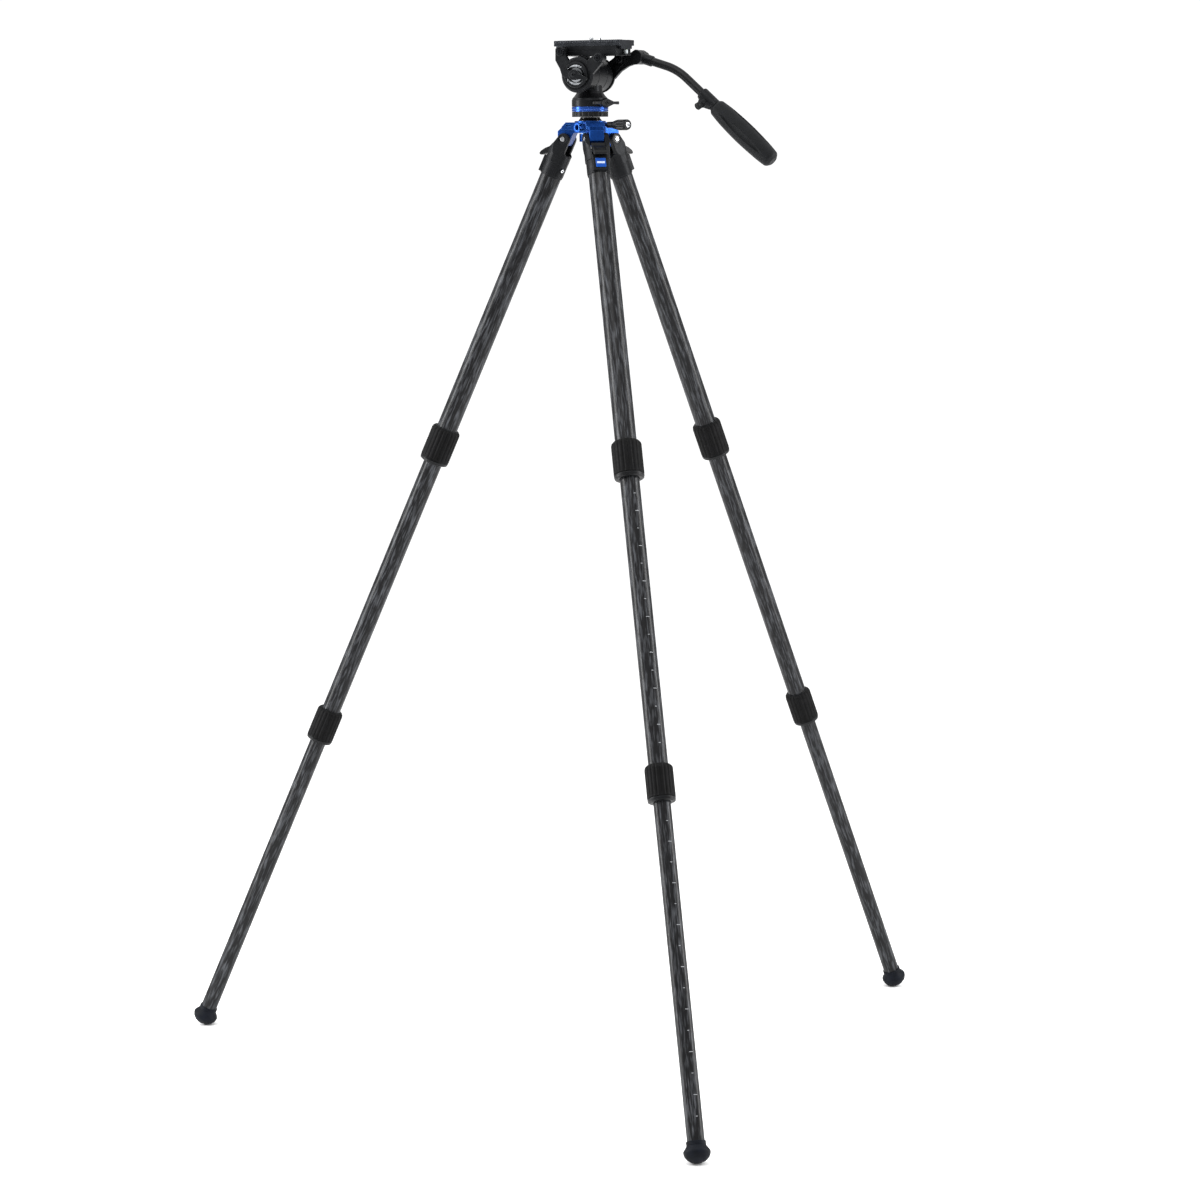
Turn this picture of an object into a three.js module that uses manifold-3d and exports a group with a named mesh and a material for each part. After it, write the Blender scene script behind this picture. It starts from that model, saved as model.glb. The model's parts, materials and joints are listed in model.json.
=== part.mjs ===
// Video tripod with a fluid head: three-section carbon legs with twist locks, a spider with a
// levelling ball, and a pan and tilt head with a sliding camera plate and a telescoping handle.
// Millimetres, +Z up. The origin is on the floor under the middle of the bounding box.
// The front leg points to -Y; the other two stand 120 degrees to either side of it.
import * as THREE from "three";
import { mergeVertices } from "three/addons/utils/BufferGeometryUtils.js";
import Module from "manifold-3d";

const wasm = await Module();
wasm.setup();
const { Manifold } = wasm;
const rad = THREE.MathUtils.degToRad;

// ---- Driving dimensions -------------------------------------------------------------------

const GAP = 0.3; // room left between two pieces that touch

// Legs: distances along a leg are measured down from its hinge.
const LEG_AZIMUTH = { front: -90, right: 30, left: 150 };
const SPLAY = rad(24.19); // angle of a leg from the vertical
const HINGE_RADIUS = 38.8;
const HINGE_Z = 1418.7;
const TUBE_R = { upper: 16.2, mid: 14.52, lower: 12.7 };
const TUBE_BORE_R = { upper: 14.7, mid: 12.88, lower: 11.2 };
const LOCK_TOP = { first: 486.6, second: 979.6 };
const LOCK_BOTTOM = { first: 544.9, second: 1035.3 };
const LOCK_R = { first: 22.8, second: 20.85 };
const TUBE_OVERLAP = 60; // length of each tube that stays inside the one above
const FOOT_CENTRE = 1536.1;
const FOOT_R = 19.5;
const FOOT_HALF_HEIGHT = 17.06;
const FOOT_SEAT = FOOT_CENTRE - 6; // the lowest tube ends on this floor inside the foot
const FOOT_RIM = FOOT_CENTRE - 14;

// Leg bracket
const LUG_HALF = 11.15; // half width of the spider's lug between the two cheeks
const CHEEK_OUT = 18.85;
const COLLAR_R = 18;
const COLLAR_TOP = 31;
const COLLAR_BOTTOM = 60.4;
const SOCKET_TOP = 36; // the upper tube stops here inside the bracket
const PAD_FACE = COLLAR_R + 1.2; // a flat pad on the collar's outer side, which carries the badge
const PAD_HALF = 11.7;
const BADGE_HALF = 7.7;
const BADGE_THICK = 0.9;
const BOLT_R = 3.4;
const BOLT_HEAD_R = 5.6;
const BOLT_HEAD_OUT = CHEEK_OUT - 0.4;
const TAB_HALF = LUG_HALF - 0.55; // the pull-out angle stop fits between the cheeks

// Spider and levelling ball
const AXIS_Y = 167; // the tripod's axis stands behind the origin
const SPIDER_BOTTOM = 1414.5;
const SPIDER_TOP = 1446;
const HUB_R = 23.5;
const ARM_TOP = 1444;
const BALL_Z = 1439.5;
const BALL_R = 19;
const CUP_INNER_R = 19.5; // friction cup round the ball, with room for both to turn
const CUP_OUTER_R = 20.5;
const SPINDLE_R = 2.8;
const LEVEL_KNOB_AZIMUTH = -57;
const PORT_AZIMUTH = -150;
const PORT_Z = 1436;
const PORT_HOLE_R = 4;

// Head: its own frame has x to the rear, y to the far side and z up, over the tripod's axis.
const HEAD_YAW = rad(-38.8);
const BASE_R = 27.75;
const DISC_Z = [1452.1, 1459.8];
const RING_Z = [1460.1, 1467.2];
const PAN_LOCK_AZIMUTH = -23;
const PAN_LOCK_Z = 1472.7;
const TILT = [-2, 1514.8]; // the tilt axis, along y
const SHAFT_R = 6;
const BARREL_R = 25.5;
const BARREL_HALF = 33.7;
const PLATE_IN = 34; // side plates stand between these two distances from the middle
const PLATE_OUT = 41;
const SIDE_DISC_R = 27;
const BOSSES = { front: [-29.5, 1550], rear: [35, 1539.4] }; // where bolts hold the platform
const PLATFORM_BOLT_R = 2.3;
const PLATFORM_BOLT_HEAD_R = 4.2;
const PLATFORM_X = [-37, 57];
const PLATFORM_Z = [1543.5, 1557.9];
const PLATFORM_HALF = 25;
const CAMERA_PLATE_X = [-48, 63];
const CAMERA_PLATE_Z = [1558.2, 1566.7];
const RAIL_HALF = 17.7; // half width of the camera plate's rib in the platform's channel
const CHANNEL_Z = 1553.2;
const SCREW_X = 3.4; // camera screw and locating pin on the plate's middle line
const SCREW_R = 3.1;
const SCREW_HEAD_R = 8;
const PIN_X = 18.5;
const PIN_R = 2;
const PLATE_LOCK = [6, 1549]; // on the far side of the platform
const PLATE_LOCK_STEM_R = 2;
const BUTTON = [21, 1549];
const BUTTON_R = 2.5;

// The spirit level stands on a ledge at the platform's rear end.
const LEVEL_AT = [60.6, 2];
const LEVEL_R = 3;
const LEDGE_TOP = PLATFORM_Z[0] + 2.6;

// Handle: a bent tube beside the head, a clamp and a grip that slides out.
const HANDLE_Y = 50.6;
const BAR_HUB = [59.5, 1541.5];
const BAR_HUB_R = 11;
const BAR_HUB_OUT = 59.8; // the hub's outer face
const CLAMP_SCREW_R = 3;
const BAR_R = 6.5;
const BAR_BORE_R = 5.5;
const ROD_R = 5.2; // the grip's rod slides inside the bar
const GRIP_SLOPE = rad(41.3); // below the horizontal
const BAR_BEND = [123.5, 1521.8];
const BEND_REACH = 18; // length of each straight that the bend takes
const FIRST_SLOPE = Math.atan2(BAR_HUB[1] - BAR_BEND[1], BAR_BEND[0] - BAR_HUB[0]);
const COLLAR_LENGTH = 31.4;
const BEND_TO_COLLAR = 54;
const BAR_END = BEND_TO_COLLAR + 18;
const GRIP_START = BEND_TO_COLLAR + COLLAR_LENGTH + GAP;
const GRIP_LENGTH = 124.5;

const LOOK = {
  carbon: { color: 0x34363a, roughness: 0.38, metalness: 0.25 },
  casting: { color: 0x2b2c2f, roughness: 0.5, metalness: 0.45 },
  satin: { color: 0x1f2023, roughness: 0.45, metalness: 0.35 },
  rubber: { color: 0x17181b, roughness: 0.85, metalness: 0.0 },
  foot: { color: 0x14161d, roughness: 0.7, metalness: 0.0 },
  blue: { color: 0x1268c4, roughness: 0.32, metalness: 0.75 },
  badge: { color: 0x1583d8, roughness: 0.35, metalness: 0.1 },
  steel: { color: 0xc4c6c8, roughness: 0.28, metalness: 1.0 },
  brass: { color: 0xb08d4c, roughness: 0.4, metalness: 1.0 },
  level: { color: 0xb9c94a, roughness: 0.2, metalness: 0.0 },
};

// ---- Solids ---------------------------------------------------------------------------------

// Six times the volume inside the triangles, negative when they face inwards.
function signedVolume(points, triangles) {
  let total = 0;
  const corner = [new THREE.Vector3(), new THREE.Vector3(), new THREE.Vector3()];
  for (let i = 0; i < triangles.length; i += 3) {
    corner.forEach((v, k) => v.fromArray(points, 3 * triangles[i + k]));
    total += corner[0].dot(corner[1].cross(corner[2]));
  }
  return total;
}

// A closed three.js geometry as a solid that can be added to and cut.
function solid(geometry) {
  const bare = geometry.clone();
  bare.deleteAttribute("normal");
  bare.deleteAttribute("uv");
  const merged = mergeVertices(bare, 1e-4);
  const points = new Float32Array(merged.attributes.position.array);
  const index = merged.index.array;
  const triangles = [];
  for (let i = 0; i < index.length; i += 3) {
    const [a, b, c] = index.slice(i, i + 3);
    if (a !== b && b !== c && c !== a) triangles.push(a, b, c);
  }
  if (signedVolume(points, triangles) < 0) triangles.reverse();
  const mesh = new wasm.Mesh({
    numProp: 3,
    vertProperties: points,
    triVerts: new Uint32Array(triangles),
  });
  return new Manifold(mesh);
}

// A body of revolution about Z from [radius, z] corners.
function turned(profile, segments = 24) {
  const corners = profile.map(([r, z]) => new THREE.Vector2(r, z));
  const closes = profile[0][0] > 0 || profile[profile.length - 1][0] > 0;
  if (closes) corners.push(corners[0].clone());
  return solid(new THREE.LatheGeometry(corners, segments).rotateX(Math.PI / 2));
}

// The same with the heights measured down a leg.
function turnedDown(profile, segments = 24) {
  return turned(profile.map(([r, along]) => [r, -along]), segments);
}

function shapeOf(outline) {
  return new THREE.Shape(outline.map(([x, y]) => new THREE.Vector2(x, y)));
}

// A slab with an [x, z] outline, from y0 to y1.
function slabY(outline, y0, y1) {
  const slab = new THREE.ExtrudeGeometry(shapeOf(outline), {
    depth: y1 - y0,
    bevelEnabled: false,
  });
  return solid(slab.rotateX(Math.PI / 2).translate(0, y1, 0));
}

// A slab with an [x, y] outline, from z0 to z1.
function slabZ(outline, z0, z1) {
  const slab = new THREE.ExtrudeGeometry(shapeOf(outline), {
    depth: z1 - z0,
    bevelEnabled: false,
  });
  return solid(slab.translate(0, 0, z0));
}

function block([x0, x1], [y0, y1], [z0, z1]) {
  const box = new THREE.BoxGeometry(x1 - x0, y1 - y0, z1 - z0);
  return solid(box.translate((x0 + x1) / 2, (y0 + y1) / 2, (z0 + z1) / 2));
}

// A round bar along Y through [x, z].
function rodY([x, z], radius, y0, y1, segments = 16) {
  const bar = new THREE.CylinderGeometry(radius, radius, y1 - y0, segments);
  return solid(bar.translate(x, (y0 + y1) / 2, z));
}

function rodZ([x, y], radius, z0, z1, segments = 16) {
  const bar = new THREE.CylinderGeometry(radius, radius, z1 - z0, segments);
  return solid(bar.rotateX(Math.PI / 2).translate(x, y, (z0 + z1) / 2));
}

function ball([x, y, z], radius) {
  return solid(new THREE.SphereGeometry(radius, 24, 14).rotateX(Math.PI / 2).translate(x, y, z));
}

// Corners on a circle about [x, z], from one angle to another in degrees.
function arc([x, z], radius, from, to, steps) {
  return Array.from({ length: steps + 1 }, (_, i) => {
    const angle = rad(from + ((to - from) * i) / steps);
    return [x + radius * Math.cos(angle), z + radius * Math.sin(angle)];
  });
}

function mirroredY(shape) {
  return shape.add(shape.mirror([0, 1, 0]));
}

// ---- Frames and nodes -----------------------------------------------------------------------

const move = (x, y, z) => new THREE.Matrix4().makeTranslation(x, y, z);
const turnZ = (angle) => new THREE.Matrix4().makeRotationZ(angle);
const turnY = (angle) => new THREE.Matrix4().makeRotationY(angle);

const AXIS_FRAME = move(0, AXIS_Y, 0);
const HEAD_FRAME = move(0, AXIS_Y, 0).multiply(turnZ(HEAD_YAW));

// Hinge at the origin, the leg down -Z, outwards +X.
function legFrame(azimuth) {
  return move(0, AXIS_Y, 0)
    .multiply(turnZ(rad(azimuth)))
    .multiply(move(HINGE_RADIUS, 0, HINGE_Z))
    .multiply(turnY(-SPLAY));
}

// +Z points out from an axis at the given azimuth and height.
function radialFrame(base, azimuth, z) {
  return base
    .clone()
    .multiply(turnZ(rad(azimuth)))
    .multiply(move(0, 0, z))
    .multiply(turnY(Math.PI / 2));
}

const tripod = new THREE.Group();
tripod.name = "tripod_with_fluid_head";

function addNode(name, shape, frame, look) {
  const { numProp, vertProperties, triVerts } = shape.transform(frame.elements).getMesh();
  const points = new Float32Array((vertProperties.length / numProp) * 3);
  for (let i = 0; i < points.length / 3; i++) {
    points.set(vertProperties.subarray(numProp * i, numProp * i + 3), 3 * i);
  }
  const indexed = new THREE.BufferGeometry();
  indexed.setAttribute("position", new THREE.BufferAttribute(points, 3));
  indexed.setIndex([...triVerts]);
  const geometry = indexed.toNonIndexed();
  geometry.computeVertexNormals();
  const mesh = new THREE.Mesh(geometry, new THREE.MeshStandardMaterial(look));
  mesh.name = name;
  tripod.add(mesh);
}

// ---- Leg pieces, each in the leg's own frame --------------------------------------------------

function tube(section, top, bottom) {
  const outer = TUBE_R[section];
  const bore = TUBE_BORE_R[section];
  return turnedDown([
    [bore, top],
    [outer, top],
    [outer, bottom],
    [bore, bottom],
  ]);
}

function bracket() {
  const cheek = slabY(
    [
      ...arc([-1.4, 0], 9.6, 0, 180, 8),
      [-11, -20],
      [-COLLAR_R + 0.5, -24],
      [-COLLAR_R + 0.5, -38],
      [COLLAR_R - 0.5, -38],
      [COLLAR_R - 0.5, -28],
    ],
    LUG_HALF + GAP,
    CHEEK_OUT,
  );
  const collar = rodZ([0, 0], COLLAR_R, -COLLAR_BOTTOM, -COLLAR_TOP, 24);
  const innerHalf = block([-30, 7], [-30, 30], [-40, -23]);
  const shoulder = rodZ([0, 0], COLLAR_R, -40, -23, 24).intersect(innerHalf);
  const pad = block([8, PAD_FACE], [-PAD_HALF, PAD_HALF], [-59, -33.5]);
  const socket = rodZ([0, 0], TUBE_R.upper + GAP, -COLLAR_BOTTOM - 1, -SOCKET_TOP, 24);
  const boltHole = rodY([0, 0], BOLT_R + GAP, -30, 30);
  const headRecess = rodY([0, 0], BOLT_HEAD_R + 0.7, CHEEK_OUT - 2.8, 30);
  return mirroredY(cheek)
    .add(collar)
    .add(shoulder)
    .add(pad)
    .subtract(socket)
    .subtract(boltHole)
    .subtract(mirroredY(headRecess));
}

function hingeBolt() {
  const head = rodY([0, 0], BOLT_HEAD_R, BOLT_HEAD_OUT - 2, BOLT_HEAD_OUT);
  return rodY([0, 0], BOLT_R, -CHEEK_OUT + 1, CHEEK_OUT - 1).add(mirroredY(head));
}

// The pull-out stop between the cheeks, with its nose just under the lug.
function angleTab() {
  return slabY(
    [
      [9.6, -11],
      [9.6, -28.5],
      [17.5, -29.5],
      [27, -34.4],
      [30.2, -32.6],
      [29.5, -29.2],
      [18, -19.5],
      [15, -12.5],
    ],
    -TAB_HALF,
    TAB_HALF,
  );
}

function badge() {
  const back = PAD_FACE + GAP;
  return block([back, back + BADGE_THICK], [-BADGE_HALF, BADGE_HALF], [-54.5, -40.3]);
}

function twistLock(which, above, below) {
  const top = LOCK_TOP[which];
  const bottom = LOCK_BOTTOM[which];
  const radius = LOCK_R[which];
  const step = (top + bottom) / 2;
  return turnedDown([
    [above + GAP, top],
    [radius - 3.4, top],
    [radius - 0.9, top + 1.6],
    [radius, top + 4.5],
    [radius, bottom - 4.5],
    [radius - 0.9, bottom - 1.6],
    [radius - 3.6, bottom],
    [below + GAP, bottom],
    [below + GAP, step],
    [above + GAP, step],
  ]);
}

function foot() {
  const lower = arc([0, 0], 1, 0, -90, 7).map(([c, s]) => [
    FOOT_R * c,
    FOOT_CENTRE - FOOT_HALF_HEIGHT * s,
  ]);
  const bore = TUBE_R.lower + GAP;
  return turnedDown([
    [0, FOOT_SEAT],
    [bore, FOOT_SEAT],
    [bore, FOOT_RIM],
    [FOOT_R - 4.6, FOOT_RIM],
    [FOOT_R - 2, FOOT_CENTRE - 9.5],
    [FOOT_R - 0.5, FOOT_CENTRE - 4],
    ...lower,
  ]);
}

function addLeg(name, azimuth) {
  const frame = legFrame(azimuth);
  const add = (piece, shape, look) => addNode(`${piece}_${name}`, shape, frame, look);
  const upperEnd = (LOCK_TOP.first + LOCK_BOTTOM.first) / 2 - GAP;
  const midEnd = (LOCK_TOP.second + LOCK_BOTTOM.second) / 2 - GAP;
  const lowerEnd = FOOT_SEAT - GAP;
  add("leg_bracket", bracket(), LOOK.casting);
  add("hinge_bolt", hingeBolt(), LOOK.steel);
  add("angle_tab", angleTab(), LOOK.satin);
  add("upper_tube", tube("upper", SOCKET_TOP + GAP, upperEnd), LOOK.carbon);
  add("upper_lock", twistLock("first", TUBE_R.upper, TUBE_R.mid), LOOK.rubber);
  add("mid_tube", tube("mid", upperEnd - TUBE_OVERLAP, midEnd), LOOK.carbon);
  add("lower_lock", twistLock("second", TUBE_R.mid, TUBE_R.lower), LOOK.rubber);
  add("lower_tube", tube("lower", midEnd - TUBE_OVERLAP, lowerEnd), LOOK.carbon);
  add("foot", foot(), LOOK.foot);
}

// ---- Spider and levelling pieces, about the tripod's axis ---------------------------------------

function spiderArm() {
  const top = slabY(
    [
      [16, 1432.6],
      [43.2, 1432.6],
      [35, ARM_TOP],
      [16, ARM_TOP],
    ],
    -14.3,
    14.3,
  );
  const lug = slabY(
    [
      [16, SPIDER_BOTTOM],
      [27, SPIDER_BOTTOM],
      [31.5, 1409.5],
      [38.8, 1407.2],
      [45.5, 1409.5],
      [48.8, 1416],
      [48.8, 1431],
      [36.8, 1441],
      [16, 1441],
    ],
    -LUG_HALF,
    LUG_HALF,
  );
  return top.add(lug).subtract(rodY([HINGE_RADIUS, HINGE_Z], BOLT_R + GAP, -30, 30));
}

function spider() {
  const hub = turned([
    [0, SPIDER_BOTTOM],
    [19.5, SPIDER_BOTTOM],
    [19.5, 1427.5],
    [HUB_R, 1430],
    [HUB_R + 0.2, SPIDER_TOP],
    [0, SPIDER_TOP],
  ]);
  let body = hub;
  for (const azimuth of Object.values(LEG_AZIMUTH)) {
    body = body.add(spiderArm().transform(turnZ(rad(azimuth)).elements));
  }
  const origin = new THREE.Matrix4();
  const portFrame = radialFrame(origin, PORT_AZIMUTH, PORT_Z).elements;
  const knobFrame = radialFrame(origin, LEVEL_KNOB_AZIMUTH, BALL_Z).elements;
  return body
    .add(rodZ([0, 0], 7.6, 15, 27.5).transform(portFrame))
    .subtract(ball([0, 0, BALL_Z], CUP_OUTER_R + 0.5))
    .subtract(rodZ([0, 0], 8, SPIDER_BOTTOM - 1, BALL_Z))
    .subtract(rodZ([0, 0], PORT_HOLE_R, 21.9, 30, 24).transform(portFrame))
    .subtract(rodZ([0, 0], SPINDLE_R + GAP, 15, 60).transform(knobFrame));
}

function levelCup() {
  const centre = [0, 0, BALL_Z];
  const shell = ball(centre, CUP_OUTER_R).subtract(ball(centre, CUP_INNER_R));
  return shell.intersect(block([-40, 40], [-40, 40], [1430, 1442.2]));
}

function levelBall() {
  const slice = block([-40, 40], [-40, 40], [1427, DISC_Z[0] - GAP]);
  return ball([0, 0, BALL_Z], BALL_R).intersect(slice);
}

function levelSpindle() {
  return turned([
    [0, 21.3],
    [SPINDLE_R, 21.3],
    [SPINDLE_R, 78.9],
    [4.2, 78.9],
    [4.2, 80.7],
    [0, 80.7],
  ]);
}

function levelKnob() {
  return turned([
    [SPINDLE_R + GAP, 37.8],
    [4.8, 37.8],
    [5.2, 50],
    [7.2, 57],
    [7.7, 63],
    [7.7, 78],
    [6.9, 80.2],
    [4.6, 80.2],
    [4.6, 78.6],
    [SPINDLE_R + GAP, 78.6],
  ]);
}

function addSpider() {
  const knobFrame = radialFrame(AXIS_FRAME, LEVEL_KNOB_AZIMUTH, BALL_Z);
  const disc = rodZ([0, 0], BASE_R - 0.05, ...DISC_Z, 48);
  addNode("spider", spider(), AXIS_FRAME, LOOK.blue);
  addNode("level_cup", levelCup(), AXIS_FRAME, LOOK.brass);
  addNode("level_ball", levelBall(), AXIS_FRAME, LOOK.satin);
  addNode("level_disc", disc, AXIS_FRAME, LOOK.casting);
  addNode("level_spindle", levelSpindle(), knobFrame, LOOK.steel);
  addNode("level_knob", levelKnob(), knobFrame, LOOK.satin);
}

// ---- Head pieces, in the head's own frame --------------------------------------------------------

function panHousing() {
  const base = turned(
    [
      [0, RING_Z[1] + GAP],
      [BASE_R, RING_Z[1] + GAP],
      [BASE_R, 1478],
      [26.8, 1480.4],
      [21, 1487],
      [18.5, 1493],
      [18.5, 1505],
      [0, 1505],
    ],
    48,
  );
  const boss = rodZ([0, 0], 5, 18, 32, 20);
  const bossFrame = radialFrame(new THREE.Matrix4(), PAN_LOCK_AZIMUTH, PAN_LOCK_Z);
  return base
    .add(rodY(TILT, BARREL_R, -BARREL_HALF, BARREL_HALF, 40))
    .add(boss.transform(bossFrame.elements))
    .subtract(rodY(TILT, SHAFT_R + GAP, -50, 50));
}

// A wing lever about Z: a diamond hub with two flat lobes along Y. Both spans are heights in Z.
function wingLever(hubSpan, lobeSpan, reach, halfHeight) {
  const diamond = slabZ(
    [
      [halfHeight, -2.5],
      [halfHeight, 2.5],
      [2.6, 12.5],
      [-2.6, 12.5],
      [-halfHeight, 2.5],
      [-halfHeight, -2.5],
      [-2.6, -12.5],
      [2.6, -12.5],
    ],
    ...hubSpan,
  );
  return diamond.add(block([-2.6, 2.6], [-reach, reach], lobeSpan));
}

function sidePlateFront() {
  return slabY(
    [
      [-37.8, 1537],
      [-26, 1517],
      [-10, 1530],
      [-16, 1537],
      [-20.5, 1545],
      [-20.5, 1555.5],
      [-37.8, 1555.5],
    ],
    PLATE_IN,
    PLATE_OUT,
  );
}

function sidePlateRear() {
  return slabY(
    [
      [15, 1535.5],
      [12, 1520],
      [21.8, 1512.5],
      [40.5, 1531.5],
      ...arc(BOSSES.rear, 8, -45, 120, 6),
    ],
    PLATE_IN,
    PLATE_OUT,
  );
}

function boltBoss(at) {
  return rodY(at, 7, PLATFORM_HALF + GAP, PLATE_OUT + 2.2);
}

function boltHoles(at) {
  const recess = rodY(at, PLATFORM_BOLT_HEAD_R + GAP, PLATE_OUT - 0.4, 60);
  return recess.add(rodY(at, PLATFORM_BOLT_R + GAP, 10, 60));
}

// The far side plate; the near one is its mirror image without the handle's arm.
function sidePlate(extra = []) {
  const at = Object.values(BOSSES);
  const parts = [sidePlateFront(), sidePlateRear(), ...at.map(boltBoss), ...extra];
  const disc = rodY(TILT, SIDE_DISC_R, PLATE_IN, PLATE_OUT, 40);
  const whole = parts.reduce((all, part) => all.add(part), disc);
  const drilled = at.reduce((rest, place) => rest.subtract(boltHoles(place)), whole);
  return drilled.subtract(rodY(TILT, SHAFT_R + GAP, 0, 60));
}

function handleArm() {
  return slabY(
    [
      [20, 1509],
      [24, 1509],
      [35, 1520],
      [48, 1527.5],
      ...arc(BAR_HUB, 11.5, -100, 90, 9),
      [48, 1546],
      [35, 1546],
      [20, 1530],
    ],
    PLATE_IN,
    PLATE_OUT,
  );
}

function platformBolt(at) {
  const head = rodY(at, PLATFORM_BOLT_HEAD_R, PLATE_OUT, PLATE_OUT + 1.8);
  return head.add(rodY(at, PLATFORM_BOLT_R, 17, PLATE_OUT + 1));
}

function drumRing() {
  const inner = PLATE_OUT + GAP;
  const dish = turned([
    [6.6, inner],
    [19.7, inner],
    [19.7, inner + 3],
    [18.2, inner + 3],
    [14, inner + 1.4],
    [6.6, inner + 1.4],
  ]);
  return dish.transform(tiltOutwards().elements);
}

// +Z points out of the near side of the head along the tilt axis, +Y to the front and up.
function tiltOutwards() {
  return move(TILT[0], 0, TILT[1]).multiply(new THREE.Matrix4().makeRotationX(Math.PI / 2));
}

function tiltLock() {
  const upright = wingLever([48, 53.5], [49, 52.2], 24, 8);
  const level = upright.transform(turnZ(Math.PI / 2).elements);
  const boss = rodZ([0, 0], 6.2, PLATE_OUT + 2, 48.5);
  return level.add(boss).transform(tiltOutwards().elements);
}

function platform() {
  const body = block(PLATFORM_X, [-PLATFORM_HALF, PLATFORM_HALF], PLATFORM_Z);
  const ledge = block([PLATFORM_X[1] - 1, LEVEL_AT[0] + 4], [-8, 12], [PLATFORM_Z[0], LEDGE_TOP]);
  const channel = block([-60, 80], [-RAIL_HALF - GAP, RAIL_HALF + GAP], [CHANNEL_Z, 1560]);
  const bolts = Object.values(BOSSES).map((at) => rodY(at, PLATFORM_BOLT_R + GAP, 16.5, 40));
  const lockHole = rodY(PLATE_LOCK, PLATE_LOCK_STEM_R + GAP, 17, 40);
  const buttonHole = rodY(BUTTON, BUTTON_R + GAP, 19, 40);
  const holes = mirroredY(bolts[0].add(bolts[1])).add(lockHole).add(buttonHole);
  return body.subtract(channel).subtract(holes).add(ledge);
}

function plateLock() {
  const [x, z] = PLATE_LOCK;
  const lever = slabY(
    [
      ...arc(PLATE_LOCK, 5, 30, 330, 8),
      [x + 9, z - 4.5],
      [x + 9, z - 1.5],
    ],
    PLATFORM_HALF + GAP,
    PLATFORM_HALF + 5,
  );
  return lever.add(rodY(PLATE_LOCK, PLATE_LOCK_STEM_R, 18, PLATFORM_HALF + 1));
}

function safetyButton() {
  return rodY(BUTTON, BUTTON_R, 21.5, PLATFORM_HALF + 4);
}

function bubbleLevel() {
  return rodZ(LEVEL_AT, LEVEL_R, LEDGE_TOP + GAP, CHANNEL_Z - 0.7);
}

function cameraPlate() {
  const [bottom, top] = CAMERA_PLATE_Z;
  const slab = block(CAMERA_PLATE_X, [-PLATFORM_HALF, PLATFORM_HALF], CAMERA_PLATE_Z);
  const rib = block(CAMERA_PLATE_X, [-RAIL_HALF, RAIL_HALF], [CHANNEL_Z + GAP, bottom + 1]);
  return slab
    .add(rib)
    .subtract(rodZ([SCREW_X, 0], SCREW_R + GAP, 1540, top + 1))
    .subtract(rodZ([SCREW_X, 0], SCREW_HEAD_R + 0.4, 1540, bottom + 2.6))
    .subtract(rodZ([PIN_X, 0], PIN_R + GAP, top - 4, top + 1));
}

function cameraScrew() {
  const [bottom, top] = CAMERA_PLATE_Z;
  const head = rodZ([SCREW_X, 0], SCREW_HEAD_R, bottom - 2.2, bottom + 2.3);
  return head.add(rodZ([SCREW_X, 0], SCREW_R, bottom, top + 4.6, 24));
}

function locatingPin() {
  const top = CAMERA_PLATE_Z[1];
  return rodZ([PIN_X, 0], PIN_R, top - 3.7, top + 4.8, 24);
}

// ---- Handle ------------------------------------------------------------------------------------

// A point in the handle's plane as a vector of the head's frame.
const inHandle = ([x, z]) => new THREE.Vector3(x, HANDLE_Y, z);
const heading = (slope) => new THREE.Vector3(Math.cos(slope), 0, -Math.sin(slope));

// +Z runs down a straight of the bar from [x, z].
function straightFrame([x, z], slope) {
  return move(x, HANDLE_Y, z).multiply(turnY(Math.PI / 2 + slope));
}

const FIRST_FRAME = straightFrame(BAR_HUB, FIRST_SLOPE);
const GRIP_FRAME = straightFrame(BAR_BEND, GRIP_SLOPE);

function barHub() {
  const hub = rodY(BAR_HUB, BAR_HUB_R, PLATE_OUT + GAP, BAR_HUB_OUT);
  const socket = rodZ([0, 0], BAR_R + 1.8, 0, 23).transform(FIRST_FRAME.elements);
  const bore = rodZ([0, 0], BAR_R + GAP, 13, 40).transform(FIRST_FRAME.elements);
  return hub.add(socket).subtract(bore).subtract(rodY(BAR_HUB, CLAMP_SCREW_R + GAP, 30, 70));
}

function barClamp() {
  const knob = rodY(BAR_HUB, 9, BAR_HUB_OUT + GAP, BAR_HUB_OUT + 9);
  return knob.add(rodY(BAR_HUB, CLAMP_SCREW_R, PLATE_OUT + 1, BAR_HUB_OUT + 2));
}

function panBar() {
  const start = inHandle(BAR_HUB).addScaledVector(heading(FIRST_SLOPE), 13.3);
  const bend = inHandle(BAR_BEND);
  const end = bend.clone().addScaledVector(heading(GRIP_SLOPE), BAR_END);
  const path = new THREE.CurvePath();
  const before = bend.clone().addScaledVector(heading(FIRST_SLOPE), -BEND_REACH);
  const after = bend.clone().addScaledVector(heading(GRIP_SLOPE), BEND_REACH);
  path.add(new THREE.LineCurve3(start, before));
  path.add(new THREE.QuadraticBezierCurve3(before, bend, after));
  path.add(new THREE.LineCurve3(after, end));
  const ring = new THREE.Shape().absarc(0, 0, BAR_R, 0, 2 * Math.PI);
  ring.holes.push(new THREE.Path().absarc(0, 0, BAR_BORE_R, 0, 2 * Math.PI, true));
  const swept = new THREE.ExtrudeGeometry(ring, { steps: 18, curveSegments: 8, extrudePath: path });
  return solid(swept);
}

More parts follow.
